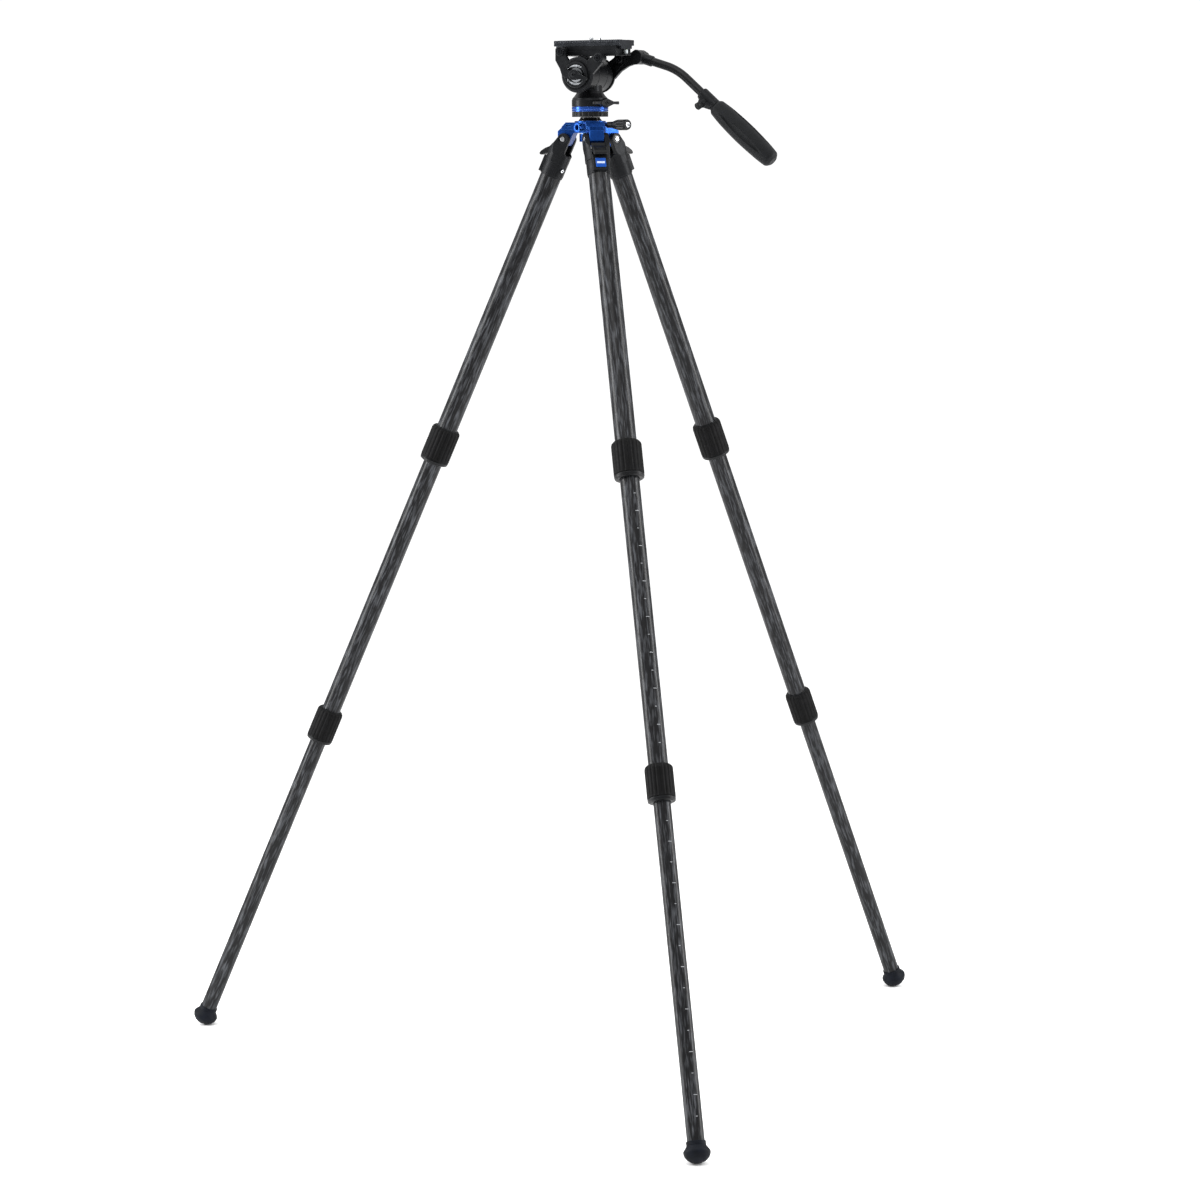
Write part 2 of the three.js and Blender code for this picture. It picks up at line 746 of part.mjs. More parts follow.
function handleCollar() {
  const bore = BAR_R + GAP;
  const step = BAR_END + GAP;
  return turned([
    [bore, BEND_TO_COLLAR],
    [9.2, BEND_TO_COLLAR],
    [9.8, BEND_TO_COLLAR + 2],
    [9.8, BEND_TO_COLLAR + COLLAR_LENGTH - 2],
    [9.2, BEND_TO_COLLAR + COLLAR_LENGTH],
    [ROD_R + 0.4, BEND_TO_COLLAR + COLLAR_LENGTH],
    [ROD_R + 0.4, step],
    [bore, step],
  ]);
}

// The clamp screw's boss and knob point out of the collar, down and to the near side.
function collarKnobFrame() {
  const along = BEND_TO_COLLAR + 14;
  return GRIP_FRAME.clone()
    .multiply(move(0, 0, along))
    .multiply(turnZ(rad(-50)))
    .multiply(turnY(Math.PI / 2));
}

function collarKnob() {
  return turned(
    [
      [0, 10.2],
      [3.2, 10.2],
      [3.2, 12],
      [4.8, 12.5],
      [4.8, 20.5],
      [4, 21.5],
      [0, 21.5],
    ],
    20,
  );
}

function handleRod() {
  return rodZ([0, 0], ROD_R, GRIP_START - 60, GRIP_START + 22, 20);
}

function grip() {
  const at = (share) => GRIP_START + share * GRIP_LENGTH;
  return turned([
    [0, at(0) + 22.3],
    [ROD_R + GAP, at(0) + 22.3],
    [ROD_R + GAP, at(0)],
    [11.8, at(0)],
    [13.3, at(0) + 2],
    [15.6, at(0.18)],
    [16.9, at(0.4)],
    [16.9, at(0.58)],
    [15.6, at(0.8)],
    [14.4, at(0.92)],
    [12.4, at(0.975)],
    [7.5, at(1)],
    [0, at(1)],
  ]);
}

function addHead() {
  const add = (name, shape, look) => addNode(name, shape, HEAD_FRAME, look);
  const mirrored = (shape) => shape.mirror([0, 1, 0]);
  add("head_ring", rodZ([0, 0], BASE_R, ...RING_Z, 48), LOOK.blue);
  add("pan_housing", panHousing(), LOOK.satin);
  const panLockFrame = radialFrame(HEAD_FRAME, PAN_LOCK_AZIMUTH, PAN_LOCK_Z);
  addNode("pan_lock", wingLever([32.3, 42], [35, 40], 25, 7.4), panLockFrame, LOOK.casting);
  add("tilt_shaft", rodY(TILT, 6, -PLATE_OUT + GAP, PLATE_OUT - GAP), LOOK.steel);
  add("side_plate_near", mirrored(sidePlate()), LOOK.satin);
  add("side_plate_far", sidePlate([handleArm()]), LOOK.satin);
  add("drum_ring", drumRing(), LOOK.steel);
  add("tilt_lock", tiltLock(), LOOK.satin);
  add("platform", platform(), LOOK.satin);
  for (const [place, at] of Object.entries(BOSSES)) {
    add(`platform_bolt_far_${place}`, platformBolt(at), LOOK.steel);
    add(`platform_bolt_near_${place}`, mirrored(platformBolt(at)), LOOK.steel);
  }
  add("plate_lock", plateLock(), LOOK.casting);
  add("safety_button", safetyButton(), LOOK.steel);
  add("bubble_level", bubbleLevel(), LOOK.level);
  add("camera_plate", cameraPlate(), LOOK.casting);
  add("camera_screw", cameraScrew(), LOOK.steel);
  add("locating_pin", locatingPin(), LOOK.steel);
}

function addHandle() {
  const gripFrame = HEAD_FRAME.clone().multiply(GRIP_FRAME);
  addNode("bar_hub", barHub(), HEAD_FRAME, LOOK.casting);
  addNode("bar_clamp", barClamp(), HEAD_FRAME, LOOK.satin);
  addNode("pan_bar", panBar(), HEAD_FRAME, LOOK.satin);
  addNode("handle_collar", handleCollar(), gripFrame, LOOK.casting);
  addNode("collar_knob", collarKnob(), HEAD_FRAME.clone().multiply(collarKnobFrame()), LOOK.satin);
  addNode("handle_rod", handleRod(), gripFrame, LOOK.steel);
  addNode("grip", grip(), gripFrame, LOOK.rubber);
}

for (const [name, azimuth] of Object.entries(LEG_AZIMUTH)) addLeg(name, azimuth);
addNode("leg_badge", badge(), legFrame(LEG_AZIMUTH.front), LOOK.badge);
addSpider();
addHead();
addHandle();

export default tripod;
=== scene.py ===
"""Video tripod with a fluid head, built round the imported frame: detailed meshes, finishes, studio."""

import json
import math

import bmesh
import bpy
from mathutils import Matrix, Vector


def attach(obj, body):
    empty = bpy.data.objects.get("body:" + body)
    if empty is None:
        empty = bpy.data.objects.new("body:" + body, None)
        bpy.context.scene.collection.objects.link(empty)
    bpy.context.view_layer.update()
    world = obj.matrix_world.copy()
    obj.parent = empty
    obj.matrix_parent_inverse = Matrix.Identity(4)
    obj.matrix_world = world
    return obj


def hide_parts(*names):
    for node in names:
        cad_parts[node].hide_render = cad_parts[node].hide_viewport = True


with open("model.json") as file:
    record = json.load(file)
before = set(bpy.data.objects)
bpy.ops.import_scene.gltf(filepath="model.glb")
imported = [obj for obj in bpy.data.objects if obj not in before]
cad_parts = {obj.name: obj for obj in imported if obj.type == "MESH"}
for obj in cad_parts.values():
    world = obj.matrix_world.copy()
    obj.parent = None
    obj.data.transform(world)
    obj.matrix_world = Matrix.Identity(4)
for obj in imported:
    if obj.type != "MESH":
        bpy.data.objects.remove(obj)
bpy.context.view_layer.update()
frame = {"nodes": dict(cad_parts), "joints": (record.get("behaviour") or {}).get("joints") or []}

# Shapes are drawn in millimetres, each in the frame of its own body. Meshes are in metres.
MM = 0.001
LEGS = ("front", "right", "left")

# ---- Places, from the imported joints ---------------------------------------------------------

JOINTS = {joint["name"]: joint for joint in frame["joints"]}


def joint_at(name):
    return Vector(JOINTS[name]["pos_m"])


def joint_axis(name):
    return Vector(JOINTS[name]["axis"]).normalized()


def basis(origin, x, z):
    """A frame with those two axes, square to each other, and y to match."""
    y = z.cross(x)
    place = Matrix((x, y, z)).transposed().to_4x4()
    place.translation = origin
    return place


def outwards(joint):
    """Z points out from the tripod's axis along a knob's own axis, x is down."""
    on_axis = Vector((AXIS.x, AXIS.y, joint_at(joint).z))
    return basis(on_axis, Vector((0, 0, -1)), joint_axis(joint))


AXIS = Vector((joint_at("pan").x, joint_at("pan").y, 0))
UPRIGHT = Matrix.Translation(AXIS)
REARWARD = joint_axis("camera_plate_slide")
FAR_SIDE = joint_axis("plate_lock_turn")
HEAD = basis(AXIS, REARWARD, REARWARD.cross(FAR_SIDE))
LEVEL_KNOB = outwards("level_lock_turn")
PAN_LOCK = outwards("pan_lock_turn")


def leg_frame(leg):
    """The hinge is the origin, z points up the leg and x outwards."""
    up = -joint_axis(f"mid_section_slide_{leg}")
    return basis(joint_at(f"leg_splay_{leg}"), joint_axis(f"angle_tab_pull_{leg}"), up)


def in_head(point):
    """A row-frame point as millimetres in the head's frame."""
    return (HEAD.inverted() @ point) / MM


TILT = in_head(joint_at("tilt"))
HUB = in_head(joint_at("bar_angle"))
HANDLE_Y = 50.6  # the handle's plane, from the head's middle
BAR_START = Vector((HUB.x, HANDLE_Y, HUB.z))
BEND = Vector((HUB.x + 64.0, HANDLE_Y, HUB.z - 19.7))
TO_BEND = (BEND - BAR_START).normalized()
DOWN_GRIP = (HEAD.to_3x3().inverted() @ joint_axis("handle_extend")).normalized()


def along_handle(start, direction):
    """Z runs down the handle from a point of its plane, y is the head's y."""
    local = basis(start * MM, Vector((0, 1, 0)).cross(direction), direction)
    return HEAD @ local


GRIP = along_handle(BEND, DOWN_GRIP)

# ---- Mesh building --------------------------------------------------------------------------

FINE = 96  # sides of a round piece that is seen large


def rounded(corners, radius, closed=True, steps=4):
    """Corner points with each corner turned into an arc of about that radius."""
    out = []
    last = len(corners) - 1
    for i, corner in enumerate(corners):
        here = Vector(corner)
        if not closed and i in (0, last):
            out.append(here)
            continue
        before = Vector(corners[i - 1]) - here
        after = Vector(corners[(i + 1) % len(corners)]) - here
        turn = before.angle(after)
        if radius == 0 or turn > math.radians(170):
            out.append(here)
            continue
        reach = min(radius / math.tan(turn / 2), 0.45 * before.length, 0.45 * after.length)
        start = here + before.normalized() * reach
        end = here + after.normalized() * reach
        for k in range(steps + 1):
            t = k / steps
            out.append(start.lerp(here, t).lerp(here.lerp(end, t), t))
    return out


def arc(centre, radius, first, last, steps=12):
    """Points on a circle, from one angle to another in degrees."""
    angles = [math.radians(first + (last - first) * i / steps) for i in range(steps + 1)]
    return [(centre[0] + radius * math.cos(a), centre[1] + radius * math.sin(a)) for a in angles]


def symmetric(right):
    """A closed outline from the points of its right half and their mirror images."""
    return [*right, *((-x, z) for x, z in reversed(right))]


def smooth_line(points, steps=6):
    """A Catmull-Rom line through the points."""
    spread = [points[0], *points, points[-1]]
    out = []
    for i in range(1, len(spread) - 2):
        a, b, c, d = (Vector(p) for p in spread[i - 1 : i + 3])
        for k in range(steps):
            t = k / steps
            out.append(
                0.5 * (2 * b + (c - a) * t + (2 * a - 5 * b + 4 * c - d) * t**2
                       + (3 * b - a - 3 * c + d) * t**3)
            )
    out.append(Vector(points[-1]))
    return out


def to_mesh(bm):
    bmesh.ops.remove_doubles(bm, verts=bm.verts, dist=1e-7)
    bmesh.ops.recalc_face_normals(bm, faces=bm.faces)
    mesh = bpy.data.meshes.new("shape")
    bm.to_mesh(mesh)
    bm.free()
    return mesh


def turned(profile, edge=0.5, around=FINE, relief=None):
    """A body of revolution about z from (radius, z) corners. relief(angle, z) is cut off the radius."""
    closed = profile[0][0] > 0
    bm = bmesh.new()
    rows = []
    for radius, z in rounded(profile, edge, closed):
        if radius < 1e-6:
            rows.append([bm.verts.new((0, 0, z * MM))])
            continue
        row = []
        for k in range(around):
            angle = 2 * math.pi * k / around
            r = radius - (relief(angle, z) if relief else 0)
            row.append(bm.verts.new((r * math.cos(angle) * MM, r * math.sin(angle) * MM, z * MM)))
        rows.append(row)
    pairs = list(zip(rows, rows[1:]))
    if closed:
        pairs.append((rows[-1], rows[0]))
    for low, high in pairs:
        for k in range(around):
            nxt = k + 1
            loop = [low[k % len(low)], low[nxt % len(low)], high[nxt % len(high)], high[k % len(high)]]
            loop = list(dict.fromkeys(loop))
            if len(loop) > 2:
                bm.faces.new(loop)
    return to_mesh(bm)


def rod(radius, low, high, edge=0.4, around=48):
    return turned([(0, low), (radius, low), (radius, high), (0, high)], edge, around)


def slab(outline, near, far, edge=0.5, corner=0.0):
    """A plate with an (x, z) outline, from y = near to y = far, with rounded rims."""
    bm = bmesh.new()
    points = rounded(outline, corner)
    face = bm.faces.new([bm.verts.new((x * MM, near * MM, z * MM)) for x, z in points])
    grown = bmesh.ops.extrude_face_region(bm, geom=[face])["geom"]
    moved = [v for v in grown if isinstance(v, bmesh.types.BMVert)]
    bmesh.ops.translate(bm, verts=moved, vec=(0, (far - near) * MM, 0))
    rims = [e for e in bm.edges if abs(e.verts[0].co.y - e.verts[1].co.y) < 1e-9]
    if edge:
        bmesh.ops.bevel(bm, geom=rims, offset=edge * MM, segments=3, profile=0.5, affect="EDGES",
                        clamp_overlap=True)
    return to_mesh(bm)


def block(x, y, z, edge=0.5):
    corners = [(x[0], z[0]), (x[1], z[0]), (x[1], z[1]), (x[0], z[1])]
    return slab(corners, y[0], y[1], edge, edge)


def placed(mesh, matrix):
    """The same mesh moved by a matrix in millimetres, turned right side out if mirrored."""
    scaled = matrix.copy()
    scaled.translation = matrix.translation * MM
    mesh.transform(scaled)
    if scaled.determinant() < 0:
        mesh.flip_normals()
    return mesh


def shift(x=0, y=0, z=0):
    return Matrix.Translation((x, y, z))


def spin(degrees, axis):
    return Matrix.Rotation(math.radians(degrees), 4, axis)


MIRROR_Y = Matrix.Diagonal((1, -1, 1, 1))
LENGTHWISE = spin(90, "Z")  # a slab's y becomes -x, and its x becomes y


def across(x, z):
    """Z becomes y, through the point (x, z)."""
    return shift(x, 0, z) @ spin(-90, "X")


def on_both_sides(plus, minus, at=(0, 0)):
    """Two meshes drawn along z, turned to point along +y and, as a mirror image, along -y."""
    return placed(plus, across(*at)), placed(minus, MIRROR_Y @ across(*at))


def joined(*meshes):
    """Separate closed shells in one mesh."""
    bm = bmesh.new()
    for mesh in meshes:
        bm.from_mesh(mesh)
    out = bpy.data.meshes.new("shape")
    bm.to_mesh(out)
    bm.free()
    return out


def combine(base, union=(), cut=()):
    """base with solids added, then others cut away."""
    collection = bpy.context.scene.collection
    work = [bpy.data.objects.new("work", base)]
    collection.objects.link(work[0])
    for operation, meshes in (("UNION", union), ("DIFFERENCE", cut)):
        for mesh in meshes:
            tool = bpy.data.objects.new("tool", mesh)
            collection.objects.link(tool)
            work.append(tool)
            step = work[0].modifiers.new(operation, "BOOLEAN")
            step.operation = operation
            step.object = tool
            step.solver = "EXACT"
    bpy.context.view_layer.update()
    result = bpy.data.meshes.new_from_object(
        work[0].evaluated_get(bpy.context.evaluated_depsgraph_get())
    )
    for item in work:
        bpy.data.objects.remove(item)
    return result


def swept(path, radius, across_axis, sides=32):
    """A round bar along a path that lies square to one axis, with closed ends."""
    bm = bmesh.new()
    rings = []
    for i, point in enumerate(path):
        ahead = (path[min(i + 1, len(path) - 1)] - path[max(i - 1, 0)]).normalized()
        side = across_axis.cross(ahead).normalized()
        turn = [2 * math.pi * k / sides for k in range(sides)]
        rings.append([
            bm.verts.new((point + radius * (math.cos(a) * across_axis + math.sin(a) * side)) * MM)
            for a in turn
        ])
    for low, high in zip(rings, rings[1:]):
        for k in range(sides):
            nxt = (k + 1) % sides
            bm.faces.new([low[k], low[nxt], high[nxt], high[k]])
    bm.faces.new(rings[0])
    bm.faces.new(rings[-1])
    return to_mesh(bm)


def flutes(count, depth, low, high, fade=2.0, sharp=1.0):
    """Grooves along a round piece between two heights, fading out at both ends."""

    def relief(angle, z):
        inside = max(0.0, min(1.0, (z - low) / fade, (high - z) / fade))
        wave = 0.5 - 0.5 * math.cos(count * angle)
        return depth * inside * wave**sharp

    return relief


def fluted_profile(profile, rows=10):
    """A profile with extra rows on its longest upright stretch, for the flutes to follow."""
    longest = max(range(len(profile) - 1), key=lambda i: abs(profile[i + 1][1] - profile[i][1]))
    a, b = Vector(profile[longest]), Vector(profile[longest + 1])
    between = [tuple(a.lerp(b, k / rows)) for k in range(1, rows)]
    return [*profile[: longest + 1], *between, *profile[longest + 1 :]]


def add_piece(name, mesh, place, finish, body, replaces=()):
    """Puts a finished piece in the scene and ties it to its body."""
    mesh.name = name
    mesh.materials.clear()
    mesh.materials.append(finish)
    mesh.polygons.foreach_set("use_smooth", [True] * len(mesh.polygons))
    mesh.set_sharp_from_angle(angle=math.radians(35))
    piece = bpy.data.objects.new(name, mesh)
    bpy.context.scene.collection.objects.link(piece)
    piece.matrix_world = place
    weighted = piece.modifiers.new("even_shading", "WEIGHTED_NORMAL")
    weighted.keep_sharp = True
    if replaces:
        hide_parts(*replaces)
    bpy.context.view_layer.update()
    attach(piece, body)


def finish_node(name, finish):
    """A CAD node that keeps its shape gets a finish of its own."""
    materials = frame["nodes"][name].data.materials
    materials.clear()
    materials.append(finish)


def dress(name, mesh, finish, body, place=HEAD, node=True):
    """A detailed piece that stands for the CAD node of its name, or one that only adds to them."""
    add_piece(f"{name}_detail", mesh, place, finish, body, [name] if node else ())


# ---- Finishes -------------------------------------------------------------------------------


def tone(code):
    """A colour written as on screen, as linear light."""
    parts = [int(code[i : i + 2], 16) / 255 for i in (0, 2, 4)]
    return (*[c / 12.92 if c <= 0.04045 else ((c + 0.055) / 1.055) ** 2.4 for c in parts], 1)


class Finish:
    """A procedural material in the making: a Principled shader and the nodes that feed it."""

    def __init__(self, name, **sockets):
        self.material = bpy.data.materials.new(name)
        self.material.use_nodes = True
        self.tree = self.material.node_tree
        self.shader = self.tree.nodes["Principled BSDF"]
        self.place = self.node("TexCoord").outputs["Object"]
        self.normal = None
        for socket, value in sockets.items():
            self.shader.inputs[socket.replace("_", " ")].default_value = value

    def node(self, kind, inputs=None, **settings):
        made = self.tree.nodes.new("ShaderNode" + kind)
        for key, value in settings.items():
            setattr(made, key, value)
        for socket, value in (inputs or {}).items():
            if isinstance(value, bpy.types.NodeSocket):
                self.tree.links.new(value, made.inputs[socket])
            else:
                made.inputs[socket].default_value = value
        return made

    def feed(self, socket, value):
        self.tree.links.new(value, self.shader.inputs[socket])

    def noise(self, per_metre, stretch=(1, 1, 1), turn=(0, 0, 0), detail=3.0):
        spread = self.node("Mapping", {"Vector": self.place, "Scale": stretch, "Rotation": turn})
        return self.node(
            "TexNoise",
            {"Vector": spread.outputs[0], "Scale": per_metre, "Detail": detail},
        ).outputs[0]

    def bands(self, per_metre, direction):
        """Even waves along a direction of the piece."""
        along = self.node("VectorMath", {0: self.place, 1: direction}, operation="DOT_PRODUCT")
        turns = self.math("MULTIPLY", along.outputs["Value"], 2 * math.pi * per_metre)
        return self.spread(self.math("SINE", turns, 0), (-1, 1), (0, 1))

    def math(self, operation, a, b):
        return self.node("Math", {0: a, 1: b}, operation=operation).outputs[0]

    def spread(self, value, source, target):
        inputs = {"Value": value, "From Min": source[0], "From Max": source[1],
                  "To Min": target[0], "To Max": target[1]}
        return self.node("MapRange", inputs).outputs["Result"]

    def mix(self, factor, a, b):
        return self.node("Mix", {0: factor, 6: a, 7: b}, data_type="RGBA").outputs[2]

    def worn(self, width):
        """High along convex edges."""
        soft = self.node("Bevel", {"Radius": width * MM}, samples=4).outputs[0]
        plain = self.node("NewGeometry").outputs["Normal"]
        same = self.node("VectorMath", {0: soft, 1: plain}, operation="DOT_PRODUCT")
        return self.spread(same.outputs["Value"], (0.99, 0.86), (0, 1))

    def bump(self, height, depth, strength=1.0):
        inputs = {"Height": height, "Distance": depth * MM, "Strength": strength}
        if self.normal:
            inputs["Normal"] = self.normal
        self.normal = self.node("Bump", inputs).outputs[0]
        self.tree.links.new(self.normal, self.shader.inputs["Normal"])


def surface(name, dark, light, edge, rough, grain, depth, **sockets):
    """A plain finish: mottled colour, lighter worn edges, uneven gloss and a fine grain."""
    made = Finish(name, **{"Specular_IOR_Level": 0.16, **sockets})
    clouds = made.spread(made.noise(60), (0.35, 0.65), (0, 1))
    fine = made.noise(grain, detail=2.0)
    body = made.mix(clouds, tone(dark), tone(light))
    speckle = made.mix(made.spread(fine, (0.35, 0.65), (0, 0.35)), body, tone(light))
    wear = made.math("MULTIPLY", made.worn(0.5), made.spread(made.noise(300), (0.3, 0.6), (0.35, 1)))
    made.feed("Base Color", made.mix(wear, speckle, tone(edge)))
    made.feed("Roughness", made.spread(made.noise(140), (0.3, 0.7), rough))
    made.bump(fine, depth)
    return made.material


def carbon():
    """Clear-coated carbon fibre: long streaks of fibre crossed by a fine diagonal weave."""
    made = Finish("carbon", Coat_Weight=0.14, Coat_Roughness=0.2, Specular_IOR_Level=0.12)
    slant = math.radians(7)
    streaks = made.noise(430, stretch=(1, 1, 0.1), turn=(slant, slant, 0), detail=4.0)
    broad = made.noise(190, stretch=(1, 1, 0.22), turn=(-slant, slant, 0), detail=2.0)
    fibres = made.math("ADD", made.math("MULTIPLY", streaks, 0.7), made.math("MULTIPLY", broad, 0.3))
    one_way = made.bands(330, (1, 1, 0.9))
    other_way = made.bands(330, (-1, -1, 0.9))
    weave = made.math("MULTIPLY", one_way, other_way)
    dark_to_light = made.mix(made.spread(fibres, (0.48, 0.68), (0, 1)), tone("08080a"), tone("4a4c50"))
    made.feed("Base Color", made.mix(made.math("MULTIPLY", weave, 0.3), dark_to_light, tone("141517")))
    made.feed("Roughness", made.spread(fibres, (0.35, 0.65), (0.34, 0.5)))
    made.bump(weave, 0.02, 0.5)
    made.bump(streaks, 0.03, 0.4)
    return made.material


def anodised(name, dark, light, edge, rough=(0.26, 0.4)):
    """Blasted and anodised aluminium."""
    made = Finish(name, Metallic=0.82)
    clouds = made.spread(made.noise(45), (0.3, 0.7), (0, 1))
    fine = made.noise(2600, detail=2.0)
    made.feed("Base Color", made.mix(made.worn(0.7), made.mix(clouds, tone(dark), tone(light)), tone(edge)))
    made.feed("Roughness", made.spread(made.noise(260), (0.3, 0.7), rough))
    made.bump(fine, 0.012)
    return made.material


def machined(name, dark, light, rough=(0.16, 0.3), rings=900):
    """Bright metal with fine tool marks round its axis."""
    made = Finish(name, Metallic=1.0)
    marks = made.noise(rings, stretch=(0.05, 0.05, 1), detail=2.0)
    made.feed("Base Color", made.mix(marks, tone(dark), tone(light)))
    made.feed("Roughness", made.spread(made.noise(400), (0.3, 0.7), rough))
    made.bump(marks, 0.006)
    return made.material


def grip_rubber():
    """Soft moulded rubber with a fine leathery grain."""
    made = Finish("grip_rubber", Sheen_Weight=0.04, Sheen_Roughness=0.5, Specular_IOR_Level=0.1)
    cells = made.node("TexVoronoi", {"Vector": made.place, "Scale": 1400}, feature="DISTANCE_TO_EDGE")
    grain = made.spread(cells.outputs["Distance"], (0, 0.25), (0, 1))
    clouds = made.spread(made.noise(90), (0.35, 0.65), (0, 1))
    body = made.mix(clouds, tone("0c0d0e"), tone("101113"))
    made.feed("Base Color", made.mix(made.math("MULTIPLY", grain, 0.4), body, tone("1b1d20")))
    made.feed("Roughness", made.spread(made.noise(500), (0.3, 0.7), (0.5, 0.66)))
    made.bump(grain, 0.04, 0.6)
    return made.material


CARBON = carbon()
CASTING = surface("cast_black", "121315", "151618", "3e4044", (0.36, 0.5), 1500, 0.03, Metallic=0.45)
SATIN = surface("satin_black", "131416", "18191b", "484b4f", (0.3, 0.42), 2200, 0.018, Metallic=0.55)
GLOSS = surface("gloss_black", "0f1011", "141517", "36383b", (0.12, 0.22), 1500, 0.004,
                Specular_IOR_Level=0.35)
DARK = surface("dark_moulding", "0b0c0d", "101113", "2a2c30", (0.34, 0.5), 1600, 0.02)
LOCK_RUBBER = surface("lock_rubber", "090909", "0d0d0e", "1b1c1e", (0.52, 0.68), 1900, 0.05,
                      Specular_IOR_Level=0.08)
FOOT_RUBBER = surface("foot_rubber", "0a0c10", "10131a", "20242c", (0.42, 0.6), 1200, 0.04,
                      Specular_IOR_Level=0.08)
GRIP_RUBBER = grip_rubber()
BLUE = anodised("anodised_blue", "093578", "0d418c", "4f8ed4")
RING_BLUE = anodised("ring_blue", "1d4391", "2a53a6", "8eaee2", (0.2, 0.32))
PLATE_GREY = surface("plate_grey", "1f2124", "282a2e", "73767c", (0.3, 0.42), 2000, 0.015, Metallic=0.6)
STEEL = machined("steel", "a9acb0", "d2d4d6")
POLISHED = machined("polished_steel", "84878b", "b4b7ba", (0.1, 0.18), 1500)
BLACK_STEEL = machined("black_steel", "1b1c1e", "2c2d30", (0.22, 0.34))
BRASS = machined("brass", "8a6a30", "b8944e", (0.3, 0.42))
BADGE_BLUE = surface("badge_blue", "083c8e", "0a469c", "3f7cc8", (0.2, 0.3), 900, 0.004)
BAND_WHITE = surface("band_white", "aeb9cc", "bcc6d8", "d3dae6", (0.4, 0.55), 900, 0.006)
SCALE_GREY = surface("scale_grey", "8a8c8f", "9b9da0", "b4b6b9", (0.4, 0.55), 900, 0.004)
TICK_GREY = surface("tick_grey", "5a5d61", "686b70", "84878c", (0.4, 0.55), 900, 0.004)
VIAL = surface("level_vial", "a9bd58", "bccf6c", "e2efae", (0.06, 0.12), 700, 0.002, Coat_Weight=1.0)
VIAL_CASE = surface("level_case", "a8adb0", "b8bdc0", "dfe3e6", (0.2, 0.3), 900, 0.004)

# ---- Legs -----------------------------------------------------------------------------------
# Heights are measured down a leg from its hinge, so they come out negative in its frame.

GAP = 0.3
SNUG = 0.15  # the room round a tube or bar in its socket
TUBE_R = {"upper": 16.2, "mid": 14.52, "lower": 12.7}
TUBE_BORE_R = {"upper": 14.7, "mid": 12.88, "lower": 11.2}
TUBE_SPAN = {"upper": (36.3, 515.45), "mid": (455.45, 1007.15), "lower": (947.15, 1529.8)}
UPPER_LOCK = (486.6, 544.9, 22.8)
LOWER_LOCK = (979.6, 1035.3, 20.85)
COLLAR = (31, 60.4, 18)
CHEEK = (11.45, 18.85)
HINGE_HOLE_R = 3.7
HEAD_SEAT = 16.05  # from the leg's middle to the face that a hinge bolt's head sits on
COLLAR_CLAMP = shift(z=-46) @ spin(150, "Z") @ spin(90, "Y")
FOOT_CENTRE = 1536.1
FOOT_R = 19.5
FOOT_HALF_HEIGHT = 17.06


def downwards(profile):
    return [(radius, -along) for radius, along in profile]


def bracket():
    """The fork on a leg's top: two cheeks round the spider's lug on a collar for the tube."""
    outline = [*arc((-1.4, 0), 9.6, 0, 180, 16), (-11, -20), (-17.5, -24), (-17.5, -38), (17.5, -38),
               (17.5, -28)]
    top, bottom, radius = COLLAR
    outside = [(radius + 1.3, 70), (radius + 1.3, 25), (radius + 4, 9), (radius + 4, -20),
               (40, -20), (40, 70)]
    cheeks = [combine(slab(outline, *side, 1.0, 1.6), cut=[turned(downwards(outside), 0)])
              for side in (CHEEK, (-CHEEK[1], -CHEEK[0]))]
    band = [(0, top), (radius - 0.4, top), (radius - 0.4, top + 3), (radius, top + 3.6),
            (radius, bottom - 3), (radius - 0.5, bottom - 2.6), (radius - 0.5, bottom), (0, bottom)]
    collar = turned(downwards(band), 0.4)
    shoulder = combine(
        turned(downwards([(0, 23), (radius, 23), (radius, 40), (0, 40)]), 2.2),
        cut=[block((7, 40), (-40, 40), (-50, -10), 0)],
    )
    pad = block((6, radius + 1.2), (-11.7, 11.7), (-59, -33.5), 1.0)
    clamp_boss = placed(rod(3.6, 12, radius + 1.6, 0.8, 32), COLLAR_CLAMP)
    head = [(6.3, HEAD_SEAT), (6.3, 18.3), (7.4, 19.2), (7.4, 30), (0, 30)]
    through = turned([(0, -30), (HINGE_HOLE_R, -30), (HINGE_HOLE_R, HEAD_SEAT), *head], 0)
    bolt, other_head = on_both_sides(through, turned([(0, HEAD_SEAT), *head], 0))
    socket = rod(TUBE_R["upper"] + SNUG, -bottom - 1, -36, 0)
    return combine(collar, [*cheeks, shoulder, pad, clamp_boss], [socket, bolt, other_head])


def hexagon(radius, low, height):
    prism = slab(arc((0, 0), radius, 0, 300, 5), 0, height, 0)
    return placed(prism, shift(z=low) @ spin(90, "X"))


def socket_head(radius, low, high, drive, depth):
    """A cap-screw head along z with a hexagonal socket in its end."""
    return combine(rod(radius, low, high, 0.45), cut=[hexagon(drive, high - depth, depth * 2)])


def hinge_bolt():
    bolt = joined(socket_head(3.5, 16.5, 18.5, 1.9, 1.1), rod(3.4, -17, 16.6, 0, 32))
    return joined(*on_both_sides(bolt, socket_head(3.5, 16.5, 18.5, 1.9, 1.1)))


def bolt_washers():
    """A black cup washer under each bolt head."""
    profile = [(HINGE_HOLE_R, 16.3), (6.0, 16.3), (6.0, 17.9), (5.2, 17.9), (4.6, 16.9),
               (HINGE_HOLE_R, 16.9)]
    return joined(*on_both_sides(turned(profile, 0.15, 48), turned(profile, 0.15, 48)))


